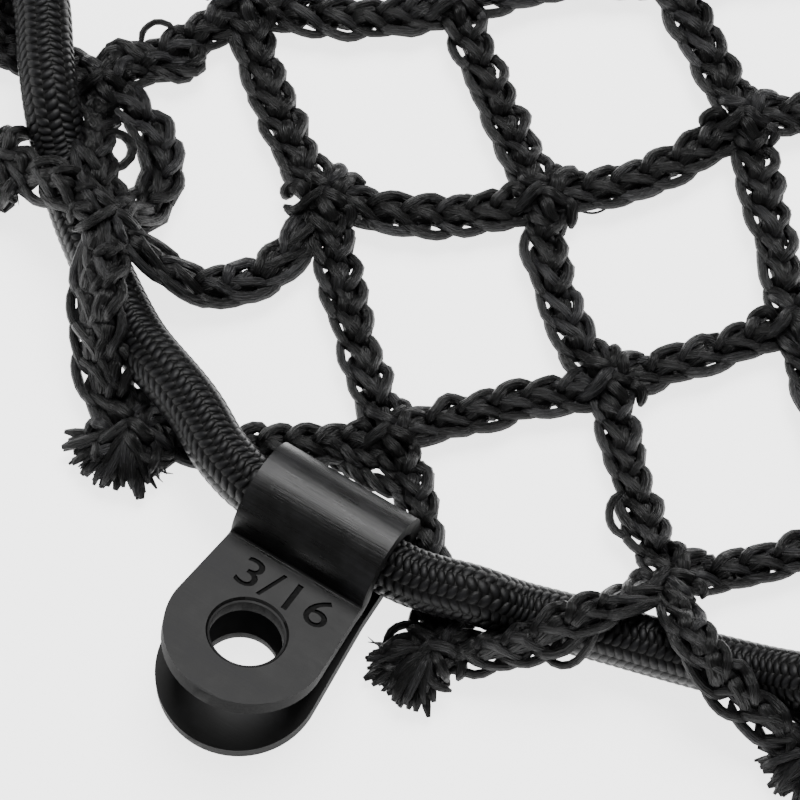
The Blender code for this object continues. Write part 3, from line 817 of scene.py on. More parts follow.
        # Under it the yarn is pressed flat, less so further from the cord.
        ceiling = self.high - reach + self.press_slope * np.maximum(0.0, under - self.press_reach)
        squeeze = np.clip(ceiling / self.yarn_height, self.least_squeeze, 1.0)
        lift = np.where(over < self.drape_reach, np.maximum(arch, 0.0), 0.0)
        lift = np.minimum(lift, np.maximum(0.0, ceiling * self.drape_limit - self.yarn_height * squeeze))
        return (lift + high * squeeze).reshape(heights.shape)


# -------------------------------------------------------------- yarn meshes
@dataclass(frozen=True)
class Strand:
    """One visible length of yarn: its path, half width and half thickness."""

    path: tuple[tuple[float, float, float], ...]
    half_width: float
    half_thickness: float


class YarnMesh:
    """Gathers strands of yarn and makes them one mesh."""

    LOWEST: ClassVar[float] = 0.02
    STAGGER: ClassVar[tuple[float, float]] = (7.3, 97.0)

    def __init__(self, name: str, lattice: Lattice) -> None:
        """Starts an empty piece."""
        self.name = name
        self.lattice = lattice
        self.parts: list[tuple[np.ndarray, np.ndarray, np.ndarray, np.ndarray, int]] = []

    def add(self, centres: np.ndarray, half_widths: np.ndarray, half_thicknesses: np.ndarray,
            tints: np.ndarray, sides: int) -> None:
        """Adds strands that have the same number of rings.

        Args:
            centres: Strands by rings by three, in millimetres from the corner joint.
            half_widths: Strands by rings.
            half_thicknesses: Strands by rings.
            tints: One shade for each strand, from 0 to 1.
            sides: Corners of a section.
        """
        self.parts.append((centres, half_widths, half_thicknesses, tints, sides))

    def build(self, material: bpy.types.Material) -> bpy.types.Object:
        """Makes the mesh, closed at each strand's ends, with its UV map and shades.

        Args:
            material: The finish it wears.

        Returns:
            The piece.
        """
        places, corners, starts, uvs, tints = [], [], [], [], []
        first_vertex = first_corner = 0
        for centres, half_widths, half_thicknesses, shades, sides in self.parts:
            count, rings = centres.shape[:2]
            around = sections(centres, np.gradient(centres, axis=1), half_widths[..., None],
                              half_thicknesses[..., None], sides)
            gaps = np.linalg.norm(np.diff(centres, axis=1), axis=2)
            along = np.concatenate([np.zeros((count, 1)), np.cumsum(gaps, axis=1)], axis=1)
            along += (self.STAGGER[0] * np.arange(count) % self.STAGGER[1])[:, None]
            grid = np.arange(count * rings * sides).reshape(count, rings, sides) + first_vertex
            faces, face_uvs = tube_faces(grid, along)
            caps = np.stack([grid[:, 0], grid[:, -1, ::-1]], axis=1)
            cap_u = np.broadcast_to(along[:, [0, -1]][:, :, None], caps.shape)
            cap_v = np.broadcast_to(np.arange(sides) / sides, caps.shape)
            places.append(around.reshape(-1, 3))
            corners += [faces.reshape(-1), caps.reshape(-1)]
            starts += [first_corner + 4 * np.arange(faces.size // 4),
                       first_corner + faces.size + sides * np.arange(caps.size // sides)]
            uvs += [face_uvs.reshape(-1), np.stack([cap_u, cap_v], axis=-1).reshape(-1)]
            tints.append(np.repeat(shades, rings * sides))
            first_vertex += grid.size
            first_corner += faces.size + caps.size
        where = np.concatenate(places)
        where[:, 2] = np.maximum(where[:, 2], self.LOWEST)
        piece = make_piece(self.name, self.lattice.to_panel(where), np.concatenate(corners),
                           np.concatenate(starts), "yarn", np.concatenate(uvs), material)
        shade = piece.data.attributes.new("tint", "FLOAT", "POINT")
        shade.data.foreach_set("value", np.concatenate(tints).astype(np.float32))
        return piece


# ----------------------------------------------------------------- the net
@dataclass(frozen=True)
class Region:
    """A stretch of the netting that is one piece: bars whose middles lie in it."""

    name: str
    first_column: float
    last_column: float
    first_row: float
    last_row: float
    detail: Detail

    def holds(self, column: float, row: float) -> bool:
        """True for a bar or joint whose middle is in it."""
        return (self.first_column <= column < self.last_column
                and self.first_row <= row < self.last_row)


@dataclass(frozen=True)
class LooseEnds:
    """Filaments freed by the cut, in millimetres; pairs are the least and the most."""

    count: int
    reach: tuple[float, float]
    bend: float
    height: tuple[float, float]
    half_width: tuple[float, float]
    tint: tuple[float, float]
    shares: tuple[float, ...]
    taper: tuple[float, ...]


@dataclass
class KnittedNet:
    """The net: knitted bars, the joints where they meet, and its cut ends."""

    lattice: Lattice
    route: CordRoute
    finish: YarnFinish = field(default_factory=YarnFinish)
    stitch: float = 2.02
    bar_top: float = 2.1
    joint_top: float = 2.3
    joint_lowest: float = 0.33
    row_inset: float = 0.9
    column_inset: float = 0.5
    seed: int = 11

    REGIONS: ClassVar[tuple[Region, ...]] = (
        Region("corner", -3.0, 3.8, -3.0, 4.8, Detail.FINE),
        Region("west", -3.0, 3.8, 4.8, 14.0, Detail.PLAIN),
        Region("south", 3.8, 9.2, -3.0, 14.0, Detail.PLAIN),
        Region("east", 9.2, 18.0, -3.0, 14.0, Detail.PLAIN),
    )

    # How much the hand of the machine varies: in stitches, as shares, in mm and in degrees.
    STITCH_SHIFT: ClassVar[float] = 0.07
    FULLNESS: ClassVar[float] = 0.08
    SWELLING: ClassVar[float] = 0.10
    # A strand's share of its width at its very end, and the share of its length that tapers.
    END_WIDTH: ClassVar[float] = 0.30
    END_TAPER: ClassVar[float] = 0.22
    BAR_WOBBLE: ClassVar[tuple[float, float, float]] = (0.04, 0.055, 0.05)
    JOINT_WOBBLE: ClassVar[float] = 0.09
    JOINT_TURN: ClassVar[float] = 6.0
    # Shades from 0, dark, to 1, light.
    TINT: ClassVar[float] = 0.5
    # The knob's darker shade is painted shade, for the low yarn in a bar's middle.
    KNOB_PAINTED_SHADE: ClassVar[float] = 0.25
    # The joint heart's very dark shade is painted shade, under the joint's top strands.
    HEART_PAINTED_SHADE: ClassVar[float] = 0.1
    SLACK_TINT: ClassVar[float] = 0.45
    TINT_SPREAD: ClassVar[float] = 0.22

    # Along in stitches, aside in mm towards the loops, height in mm.
    LOOP: ClassVar[Strand] = Strand(
        ((-0.20, -0.10, 1.40), (-0.03, 0.28, 1.86), (0.22, 0.78, 1.78), (0.55, 1.20, 1.38),
         (0.90, 1.25, 1.12), (1.17, 0.88, 1.02), (1.32, 0.40, 0.95)), 0.38, 0.30)
    DIAGONAL: ClassVar[Strand] = Strand(
        ((-0.38, 0.72, 1.10), (0.00, 0.36, 1.58), (0.38, 0.00, 1.86), (0.76, -0.34, 1.72),
         (1.12, -0.70, 1.35), (1.40, -1.02, 1.12)), 0.36, 0.27)
    KNOB: ClassVar[Strand] = Strand(
        ((-0.10, -0.35, 1.20), (0.22, -0.12, 1.62), (0.58, 0.14, 1.66), (0.92, 0.42, 1.25)), 0.52, 0.36)
    UNDER_DIAGONAL: ClassVar[Strand] = Strand(
        ((-0.40, 0.85, 1.00), (0.10, 0.55, 1.45), (0.50, 0.20, 1.72), (0.90, -0.10, 1.60),
         (1.20, -0.30, 1.30)), 0.44, 0.31)
    BOW: ClassVar[Strand] = Strand(
        ((-0.34, -0.35, 1.10), (0.02, -0.86, 1.36), (0.50, -1.17, 1.30), (1.00, -1.18, 1.18),
         (1.40, -0.90, 1.10), (1.70, -0.36, 1.02)), 0.36, 0.30)
    CORE: ClassVar[Strand] = Strand((), 0.68, 0.46)
    CORE_ASIDE: ClassVar[float] = 0.02
    OVERHANG: ClassVar[float] = 0.3

    # Strands of a joint: east, north and height in mm from its middle.
    JOINT_TOP: ClassVar[tuple[Strand, ...]] = (
        Strand(((-1.1, 2.3, 1.1), (-0.6, 1.5, 1.9), (0.1, 0.9, 2.05), (0.8, 0.45, 1.5)), 0.42, 0.34),
        Strand(((0.1, 0.9, 1.5), (0.9, 1.1, 1.95), (1.4, 1.75, 1.7), (0.95, 2.5, 1.1)), 0.45, 0.36),
        Strand(((0.7, 0.9, 1.7), (-0.1, 0.35, 2.25), (-1.0, -0.15, 2.1), (-1.9, -0.4, 1.6),
                (-2.6, -0.2, 1.0)), 0.44, 0.34),
        Strand(((-0.3, 0.5, 1.8), (0.35, 0.1, 2.25), (1.0, -0.5, 2.05), (1.7, -0.9, 1.4)), 0.42, 0.34),
        Strand(((-0.25, 0.2, 1.7), (0.0, -0.6, 2.2), (0.15, -1.4, 2.1), (0.5, -2.2, 1.4)), 0.44, 0.34),
        Strand(((0.6, -0.3, 1.6), (1.05, 0.4, 2.15), (1.5, 1.05, 2.0), (2.2, 1.25, 1.6),
                (2.9, 0.9, 1.1)), 0.46, 0.36),
        Strand(((-1.0, 0.2, 1.5), (-1.6, 0.85, 1.85), (-2.25, 1.0, 1.6), (-2.8, 0.5, 1.1)), 0.42, 0.34),
        Strand(((0.7, -0.6, 1.4), (1.4, -0.9, 1.75), (1.6, -1.6, 1.5), (1.1, -2.3, 1.1)), 0.40, 0.32),
        Strand(((-1.1, -0.7, 1.4), (-0.8, -1.5, 1.75), (-0.25, -2.2, 1.7), (0.4, -2.8, 1.2)), 0.38, 0.30),
    )
    JOINT_UNDER: ClassVar[tuple[int, ...]] = (2, 3, 4, 5)
    JOINT_HEART: ClassVar[tuple[Strand, ...]] = (
        Strand(((-1.5, -0.3, 1.15), (-0.2, 0.1, 1.3), (1.4, 0.5, 1.15)), 0.95, 0.72),
        Strand(((0.4, 1.7, 1.1), (0.1, 0.2, 1.25), (0.1, -1.6, 1.1)), 0.85, 0.70),
    )

    # The flat fringe where the corner's cut goes through a joint, and the hairs at a bar's cut end.
    FRINGE: ClassVar[LooseEnds] = LooseEnds(
        110, (2.5, 4.5), 0.55, (0.5, 2.3), (0.12, 0.42), (0.2, 0.9), (0.15, 0.45, 0.75, 1.0),
        (0.7, 1.0, 1.1, 1.1, 1.0, 0.45))
    FRINGE_SWING: ClassVar[tuple[float, float, float]] = (-10.0, 62.0, 100.0)
    FRINGE_DIP: ClassVar[float] = 0.4
    FRINGE_FALL: ClassVar[tuple[float, ...]] = (1.0, 0.95, 0.8, 0.6)
    FRINGE_HALF_THICKNESS: ClassVar[tuple[float, float]] = (0.08, 0.22)
    FRINGE_SIDES: ClassVar[int] = 5
    HAIRS: ClassVar[LooseEnds] = LooseEnds(
        14, (0.5, 1.5), 0.5, (0.4, 1.7), (0.06, 0.16), (0.3, 1.0), (0.0, 0.55, 1.0),
        (1.0, 0.8, 0.55, 0.2))
    HAIR_ASIDE: ClassVar[float] = 1.1
    HAIR_SWAY: ClassVar[tuple[float, float, float]] = (0.0, 0.3, 1.0)
    HAIR_UNEVEN: ClassVar[float] = 0.25
    HAIR_LOWEST: ClassVar[float] = 0.12
    HAIR_ROOT: ClassVar[float] = 0.03
    HAIR_SIDES: ClassVar[int] = 4

    # Slack yarn at the photographed corner: east, north and height in mm from its corner joint.
    SLACK: ClassVar[tuple[Strand, ...]] = (
        Strand(((2.2, 56.6, 1.3), (2.5, 57.7, 1.5), (3.0, 58.2, 1.5), (3.7, 58.4, 1.5), (4.5, 57.9, 1.5),
                (4.9, 56.8, 1.2)), 0.24, 0.22),
        Strand(((1.2, 55.6, 1.0), (3.1, 54.7, 1.3), (4.5, 54.3, 1.3), (5.5, 54.6, 1.3), (5.9, 55.5, 1.3),
                (5.2, 56.5, 1.2)), 0.62, 0.60),
        Strand(((-0.8, 54.0, 1.3), (-0.5, 55.6, 1.7), (0.2, 56.7, 1.6), (1.1, 56.9, 1.5), (2.4, 56.2, 1.5),
                (3.9, 55.6, 1.2)), 0.62, 0.55),
        Strand(((-3.4, 54.4, 0.7), (-2.4, 55.2, 1.0), (-1.5, 55.3, 1.2), (-0.7, 54.6, 1.2)), 0.55, 0.50),
        Strand(((8.6, 11.7, 1.0), (9.4, 12.5, 1.3), (10.5, 12.7, 1.4), (11.5, 12.2, 1.3), (12.2, 11.0, 1.2)),
               0.30, 0.26),
        Strand(((17.8, 8.6, 1.0), (18.9, 7.3, 1.1), (20.0, 7.0, 1.1), (21.1, 7.5, 1.2), (22.2, 8.6, 1.4)),
               0.28, 0.25),
        Strand(((26.6, 18.6, 1.3), (25.4, 18.0, 1.4), (24.9, 17.0, 1.3), (25.0, 16.0, 1.3),
                (25.9, 15.0, 1.2)), 0.28, 0.26),
        Strand(((27.4, 39.5, 0.8), (28.4, 38.6, 0.9), (29.3, 38.3, 0.9), (30.4, 38.6, 0.9)), 0.10, 0.10),
        Strand(((-1.9, 49.9, 1.3), (-1.1, 50.4, 1.3), (-0.3, 50.3, 1.3), (0.1, 49.6, 1.3), (-0.2, 48.6, 1.3),
                (-1.2, 47.6, 1.3), (-2.2, 47.3, 1.2)), 0.34, 0.30),
        Strand(((-3.4, 30.4, 1.2), (-2.2, 29.2, 1.4), (-1.8, 28.0, 1.3), (-2.7, 27.3, 1.2),
                (-3.9, 27.6, 1.0)), 0.50, 0.42),
        Strand(((7.4, 26.4, 1.2), (8.9, 25.3, 1.3), (10.4, 24.3, 1.3), (12.0, 24.4, 1.2)), 0.62, 0.50),
        Strand(((8.6, 25.3, 1.0), (9.6, 23.8, 1.0), (10.8, 22.7, 1.0), (12.0, 22.0, 1.1), (12.9, 22.9, 1.3)),
               0.60, 0.48),
        Strand(((6.2, 27.0, 0.8), (7.4, 26.0, 0.9), (8.8, 24.6, 0.9), (10.2, 23.4, 0.9)), 0.55, 0.40),
    )
    # Slack bars there, laid beside a bar of the lattice: kind, column, row, bow to the east and north.
    SLACK_BARS: ClassVar[tuple] = ((Knit.COLUMN, 0, 3, -0.9, 0.4), (Knit.COLUMN, 0, 2, -1.1, 0.0))
    # Slack yarn thicker than this opens into plies, which twist round each other.
    PLIED_FROM: ClassVar[float] = 0.45
    PLIES: ClassVar[int] = 3
    PLY_SHARE: ClassVar[float] = 0.62
    PLY_TURNS: ClassVar[float] = 1.4

    def __post_init__(self) -> None:
        """Starts the net's own series of chance numbers."""
        self.random = np.random.default_rng(self.seed)

    def region_of(self, column: float, row: float) -> Region:
        """The region that a bar or joint belongs to."""
        return next(region for region in self.REGIONS if region.holds(column, row))

    def widths(self, strand: Strand, count: int, rings: int) -> tuple[np.ndarray, np.ndarray]:
        """Half widths and thicknesses that swell and thin a little and close at the ends.

        Args:
            strand: The strand's own sizes.
            count: How many strands.
            rings: How many sections each has.

        Returns:
            Two arrays, strands by rings.
        """
        share = np.linspace(0.0, 1.0, rings)
        full = np.clip(np.minimum(share, 1.0 - share) / self.END_TAPER, 0.0, 1.0)
        shape = self.END_WIDTH + (1.0 - self.END_WIDTH) * np.sin(0.5 * np.pi * full)
        swell = 1.0 + self.SWELLING * self.random.standard_normal((count, 1))
        return strand.half_width * shape * swell, strand.half_thickness * shape * swell

    def knit_bar(self, bar: Bar, chain: YarnMesh, laid: YarnMesh, detail: Detail) -> None:
        """Knits one bar.

        Args:
            bar: The bar.
            chain: The piece that its loops and diagonals go to.
            laid: The piece that its laid-in bows go to.
            detail: How finely it is modelled.
        """
        start, end = bar.kept[0] * bar.length, bar.kept[1] * bar.length
        inset = self.row_inset if bar.kind is Knit.ROW else self.column_inset
        first = start + (inset if bar.kept[0] == 0.0 else 0.0)
        last = end - (inset if bar.kept[1] == 1.0 else 0.0)
        count = max(1, round((last - first) / self.stitch))
        step = (last - first) / count
        starts = first + step * np.arange(count)
        starts += self.STITCH_SHIFT * step * self.random.standard_normal(count)
        full = 1.0 + self.FULLNESS * self.random.standard_normal((2, count, 1))
        for strand, target, under in ((self.LOOP, chain, False), (self.DIAGONAL, chain, False),
                                      (self.KNOB, chain, False), (self.LOOP, chain, True),
                                      (self.UNDER_DIAGONAL, chain, True), (self.BOW, laid, False)):
            if strand is self.KNOB and detail is not Detail.FINE:
                continue
            path = np.array(strand.path)[None, :, :].repeat(count, axis=0)
            path = path + self.random.standard_normal(path.shape) * self.BAR_WOBBLE
            path[..., 0] = path[..., 0] * step + starts[:, None]
            path[..., 0] = np.clip(path[..., 0], start - self.OVERHANG, end + self.OVERHANG)
            path[..., 1] *= full[0] if target is chain else full[1]
            if under:
                path[..., 2] = self.bar_top - path[..., 2]
            fineness = detail.under if under or strand is self.KNOB else detail
            self.lay(bar, smooth_path(path, fineness.rings), strand, target, fineness)
        rings = 2 * detail.rings + 2
        line = np.stack([np.linspace(start, end, rings), np.full(rings, self.CORE_ASIDE),
                         np.full(rings, self.bar_top / 2)], axis=-1)[None]
        self.lay(bar, line, self.CORE, chain, detail)

    def tints(self, middle: float, count: int | None = None) -> np.ndarray:
        """Shades of strands, about a middle one."""
        return np.clip(middle + self.TINT_SPREAD * self.random.standard_normal(count), 0.0, 1.0)

    def lay(self, bar: Bar, lines: np.ndarray, strand: Strand, target: YarnMesh, detail: Detail) -> None:
        """Bends a bar's strands to its middle line and drapes them on the cord.

        Args:
            bar: The bar.
            lines: Their paths: along and aside in millimetres, and height.
            strand: Their sizes.
            target: The piece that they go to.
            detail: How finely they are modelled.
        """
        places = bar.place(lines[..., 0] / bar.length, lines[..., 1])
        heights = self.route.drape(places, lines[..., 2])
        centres = np.concatenate([places, heights[..., None]], axis=-1)
        half_widths, half_thicknesses = self.widths(strand, len(centres), centres.shape[1])
        # A knob takes a darker shade: painted shade between the diagonals.
        tints = self.tints(self.KNOB_PAINTED_SHADE if strand is self.KNOB else self.TINT, len(centres))
        target.add(centres, half_widths, half_thicknesses, tints, detail.sides)

    def add_strand(self, strand: Strand, path: np.ndarray, tint: float, target: YarnMesh,
                   detail: Detail, plies: int = 1) -> None:
        """Adds one strand on its own, draped on the cord.

        Args:
            strand: Its sizes.
            path: Its points, in millimetres from the corner joint.
            tint: Its shade, from 0 to 1.
            target: The piece that it goes to.
            detail: How finely it is modelled.
            plies: How many plies twist round each other in it.
        """
        rings = detail.rings + 2 * (plies > 1)
        line = smooth_path(path, rings)
        line[:, 2] = self.route.drape(line[:, :2], line[:, 2])
        left = left_of(unit(np.gradient(line[:, :2], axis=0)))
        half_widths, half_thicknesses = self.widths(strand, 1, rings)
        apart, thin = (0.0, 1.0) if plies == 1 else (self.PLY_SHARE * strand.half_width, self.PLY_SHARE)
        for ply in range(plies):
            angle = 2.0 * np.pi * (ply / plies + np.linspace(0.0, self.PLY_TURNS, rings))
            twisted = line + np.column_stack([left * (apart * np.cos(angle))[:, None], apart * np.sin(angle)])
            target.add(twisted[None], thin * half_widths, thin * half_thicknesses,
                       np.array([tint]), detail.sides)

    def tie_joint(self, place: np.ndarray, target: YarnMesh, detail: Detail) -> None:
        """Builds the lump of strands where two bars meet.

        Args:
            place: The joint's middle.
            target: The piece that it goes to.
            detail: How finely it is modelled.
        """
        turn = math.radians(float(self.random.normal(0.0, self.JOINT_TURN)))
        spin = np.array(((math.cos(turn), -math.sin(turn)), (math.sin(turn), math.cos(turn))))
        chosen = [(strand, False) for strand in self.JOINT_TOP]
        chosen += [(self.JOINT_TOP[k], True) for k in self.JOINT_UNDER]
        for strand, under in chosen:
            path = np.array(strand.path)
            path = path + self.random.standard_normal(path.shape) * self.JOINT_WOBBLE
            path[:, :2] = path[:, :2] @ spin.T + place
            if under:
                path[:, 2] = np.maximum(self.joint_top - path[:, 2], self.joint_lowest)
            self.add_strand(strand, path, float(self.tints(self.TINT)), target, detail)
        for strand in self.JOINT_HEART:
            path = np.array(strand.path)
            path[:, :2] = path[:, :2] @ spin.T + place
            # The heart is drawn almost black: painted shade under the top strands.
            self.add_strand(strand, path, self.HEART_PAINTED_SHADE, target, detail.under)

    def fan_out(self, column: int, row: int, place: np.ndarray, target: YarnMesh) -> None:
        """Spreads the flat frayed fringe where the corner's cut goes through a joint.

        Args:
            column: The joint's column.
            row: The joint's row.
            place: The joint's middle.
            target: The piece that it goes to.
        """
        _, _, east, north = self.lattice.from_corner(column, row)
        ends = self.FRINGE
        first, last, last_west = self.FRINGE_SWING
        swing = np.radians(self.random.uniform(first, last_west if column == 0 else last, ends.count))
        way = -np.stack([east * np.cos(swing), north * np.sin(swing)], axis=-1)
        reach = self.random.uniform(*ends.reach, ends.count) - self.FRINGE_DIP * np.sin(2.0 * swing)
        curl = self.random.normal(0.0, ends.bend, ends.count)
        share = np.array(ends.shares)
        flat = (place + way[:, None, :] * (reach[:, None] * share)[..., None]
                + left_of(way)[:, None, :] * (curl[:, None] * share ** 2)[..., None])
        heights = self.random.uniform(*ends.height, ends.count)[:, None] * np.array(self.FRINGE_FALL)
        heights = self.route.drape(flat, heights)
        centres = smooth_path(np.concatenate([flat, heights[..., None]], axis=-1), len(ends.taper))
        half_widths = self.random.uniform(*ends.half_width, (ends.count, 1)) * np.array(ends.taper)
        thin = self.random.uniform(*self.FRINGE_HALF_THICKNESS, (ends.count, 1)) * np.array(ends.taper)
        target.add(centres, half_widths, thin, self.random.uniform(*ends.tint, ends.count), self.FRINGE_SIDES)

    def fray(self, bar: Bar, target: YarnMesh) -> None:
        """Adds the loose filaments at a bar's cut end.

        Args:
            bar: The bar that the cut leaves.
            target: The piece that they go to.
        """
        ends = self.HAIRS
        cut, outward = (bar.kept[0], -1.0) if bar.kept[1] == 1.0 else (bar.kept[1], 1.0)
        start = np.full(ends.count, cut) - outward * self.HAIR_ROOT
        aside = self.random.uniform(-self.HAIR_ASIDE, self.HAIR_ASIDE, ends.count)
        reach = self.random.uniform(*ends.reach, ends.count) / bar.length
        spread = self.random.normal(0.0, ends.bend, ends.count)
        along = start[:, None] + outward * reach[:, None] * np.array(ends.shares)
        side = aside[:, None] + spread[:, None] * np.array(self.HAIR_SWAY)
        heights = (self.random.uniform(*ends.height, ends.count)[:, None]
                   + self.random.normal(0.0, self.HAIR_UNEVEN, (ends.count, len(ends.shares))))
        places = bar.place(along, side)
        heights = self.route.drape(places, np.maximum(heights, self.HAIR_LOWEST))
        centres = smooth_path(np.concatenate([places, heights[..., None]], axis=-1), len(ends.taper))
        thin = self.random.uniform(*ends.half_width, (ends.count, 1)) * np.array(ends.taper)
        target.add(centres, thin, thin, self.random.uniform(*ends.tint, ends.count), self.HAIR_SIDES)

    def knit(self, chains: dict[str, YarnMesh], laids: dict[str, YarnMesh]) -> dict[str, int]:
        """Knits every bar and joint, and the slack yarn at the photographed corner.

        Args:
            chains: Each region's piece for loops and diagonals.
            laids: Each region's piece for the rest.

        Returns:
            How many whole bars each region has.
        """
        bars = {region.name: 0 for region in self.REGIONS}
        for bar in self.lattice.bars():
            column = bar.column + (0.5 if bar.kind is Knit.ROW else 0.0)
            row = bar.row + (0.5 if bar.kind is Knit.COLUMN else 0.0)
            region = self.region_of(column, row)
            self.knit_bar(bar, chains[region.name], laids[region.name], region.detail)
            if bar.whole:
                bars[region.name] += 1
            else:
                self.fray(bar, laids[region.name])
        for column, row, place in self.lattice.joints():
            region = self.region_of(column, row)
            self.tie_joint(place, laids[region.name], region.detail)
            near_column, near_row, _, _ = self.lattice.from_corner(column, row)
            if min(near_column, near_row) >= 0 and near_column + near_row == 2:
                self.fan_out(column, row, place, laids[region.name])
        for strand in self.SLACK:
            plies = self.PLIES if strand.half_width > self.PLIED_FROM else 1
            path = np.array(strand.path)
            self.add_strand(strand, path, self.SLACK_TINT, laids["corner"], Detail.FINE, plies)
        by_place = {(bar.kind, bar.column, bar.row): bar for bar in self.lattice.bars()}
        for *beside, east, north in self.SLACK_BARS:
            slack = replace(by_place[tuple(beside)], bow=np.array((east, north)))
            self.knit_bar(slack, chains["corner"], laids["corner"], Detail.FINE)
        return bars

    def build(self) -> list[bpy.types.Object]:
        """Makes the net's pieces, region by region.

        Returns:
            Its pieces.
        """
        material = self.finish.material()
        chains = {region.name: YarnMesh(f"net_{region.name}_chain", self.lattice) for region in self.REGIONS}
        laids = {region.name: YarnMesh(f"net_{region.name}_laid", self.lattice) for region in self.REGIONS}
        bars = self.knit(chains, laids)
        pieces = []
        for region in self.REGIONS:
            chain, laid = chains[region.name].build(material), laids[region.name].build(material)
            for piece in (chain, laid):
                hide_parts("net")
                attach(piece, "root")
            beyond = self.lattice.outermost
            columns = min(region.last_column, self.lattice.meshes_x + beyond)
            columns -= max(region.first_column, -beyond)
            rows = min(region.last_row, self.lattice.meshes_y + beyond) - max(region.first_row, -beyond)
            pieces += [chain, laid]
        return pieces


# ---------------------------------------------------------------- the cord
@dataclass
class ElasticCord:
    """The elastic cord: one closed loop in a braided sheath."""

    lattice: Lattice
    route: CordRoute
    finish: SheathFinish = field(default_factory=SheathFinish)
    fine_from: float = -14.0
    fine_to: float = 118.0
    fine_sides: int = 48
    fine_step: float = 0.1475
    plain_sides: int = 16
    plain_step: float = 1.2
    relief: float = 0.07
    overlap: int = 40
    sight: float = 0.5

    def tube(self, name: str, at: np.ndarray, sides: int, relief: float,
             material: bpy.types.Material) -> bpy.types.Object:
        """Makes a stretch of the cord.

        Args:
            name: The piece's name.
            at: Where its sections are, in millimetres along the route.
            sides: Corners of a section.
            relief: How far the picks stand out.
            material: The finish it wears.

        Returns:
            The piece.
        """
        count, ring = len(self.route.points), self.route.length
        index = np.arange(-self.overlap, count + self.overlap + 1)
        marks = ring * index / count
        path = np.column_stack([self.route.points, self.route.heights])[index % count]
        behind, centres, ahead = (
            np.stack([np.interp((at + shift) % ring, marks, path[:, axis]) for axis in range(3)], axis=-1)
            for shift in (-self.sight, 0.0, self.sight))
        # The same leaves as in the sheath's material, cut into the surface.
        wale = np.arange(sides) / sides * self.finish.wales
        across, parity = wale % 1.0 - 0.5, np.floor(wale) % 2.0
        phase = (at[:, None] / self.finish.pick + parity * 0.5
                 + across * (2.0 * parity - 1.0) * self.finish.lean)
        along_leaf = 2.0 * (phase % 1.0) - 1.0
        picks = np.sqrt(np.maximum(0.0, 1.0 - along_leaf ** 2 - (across / self.finish.leaf) ** 2))
        radius = self.route.radius - relief * (1.0 - picks)
        places = sections(centres, ahead - behind, radius, radius, sides)
        faces, uvs = tube_faces(np.arange(len(at) * sides).reshape(len(at), sides), at)
        return make_piece(name, self.lattice.to_panel(places.reshape(-1, 3)), faces.reshape(-1),
                          np.arange(0, faces.size, 4), "sheath", uvs, material)

    def build(self) -> list[bpy.types.Object]:
        """Makes the cord: a finely braided stretch at the photographed corner, and the rest.

        Returns:
            Its pieces.
        """
        material = self.finish.material()
        fine_at = np.arange(self.fine_from, self.fine_to, self.fine_step)
        rest = self.route.length - fine_at[-1] + fine_at[0]
        plain_at = np.linspace(fine_at[-1], self.route.length + fine_at[0], round(rest / self.plain_step))
        pieces = [self.tube("cord_corner", fine_at, self.fine_sides, self.relief, material),
                  self.tube("cord_rest", plain_at, self.plain_sides, 0.0, material)]
        for piece in pieces:
            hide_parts("elastic_cord")
            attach(piece, "root")
        return pieces


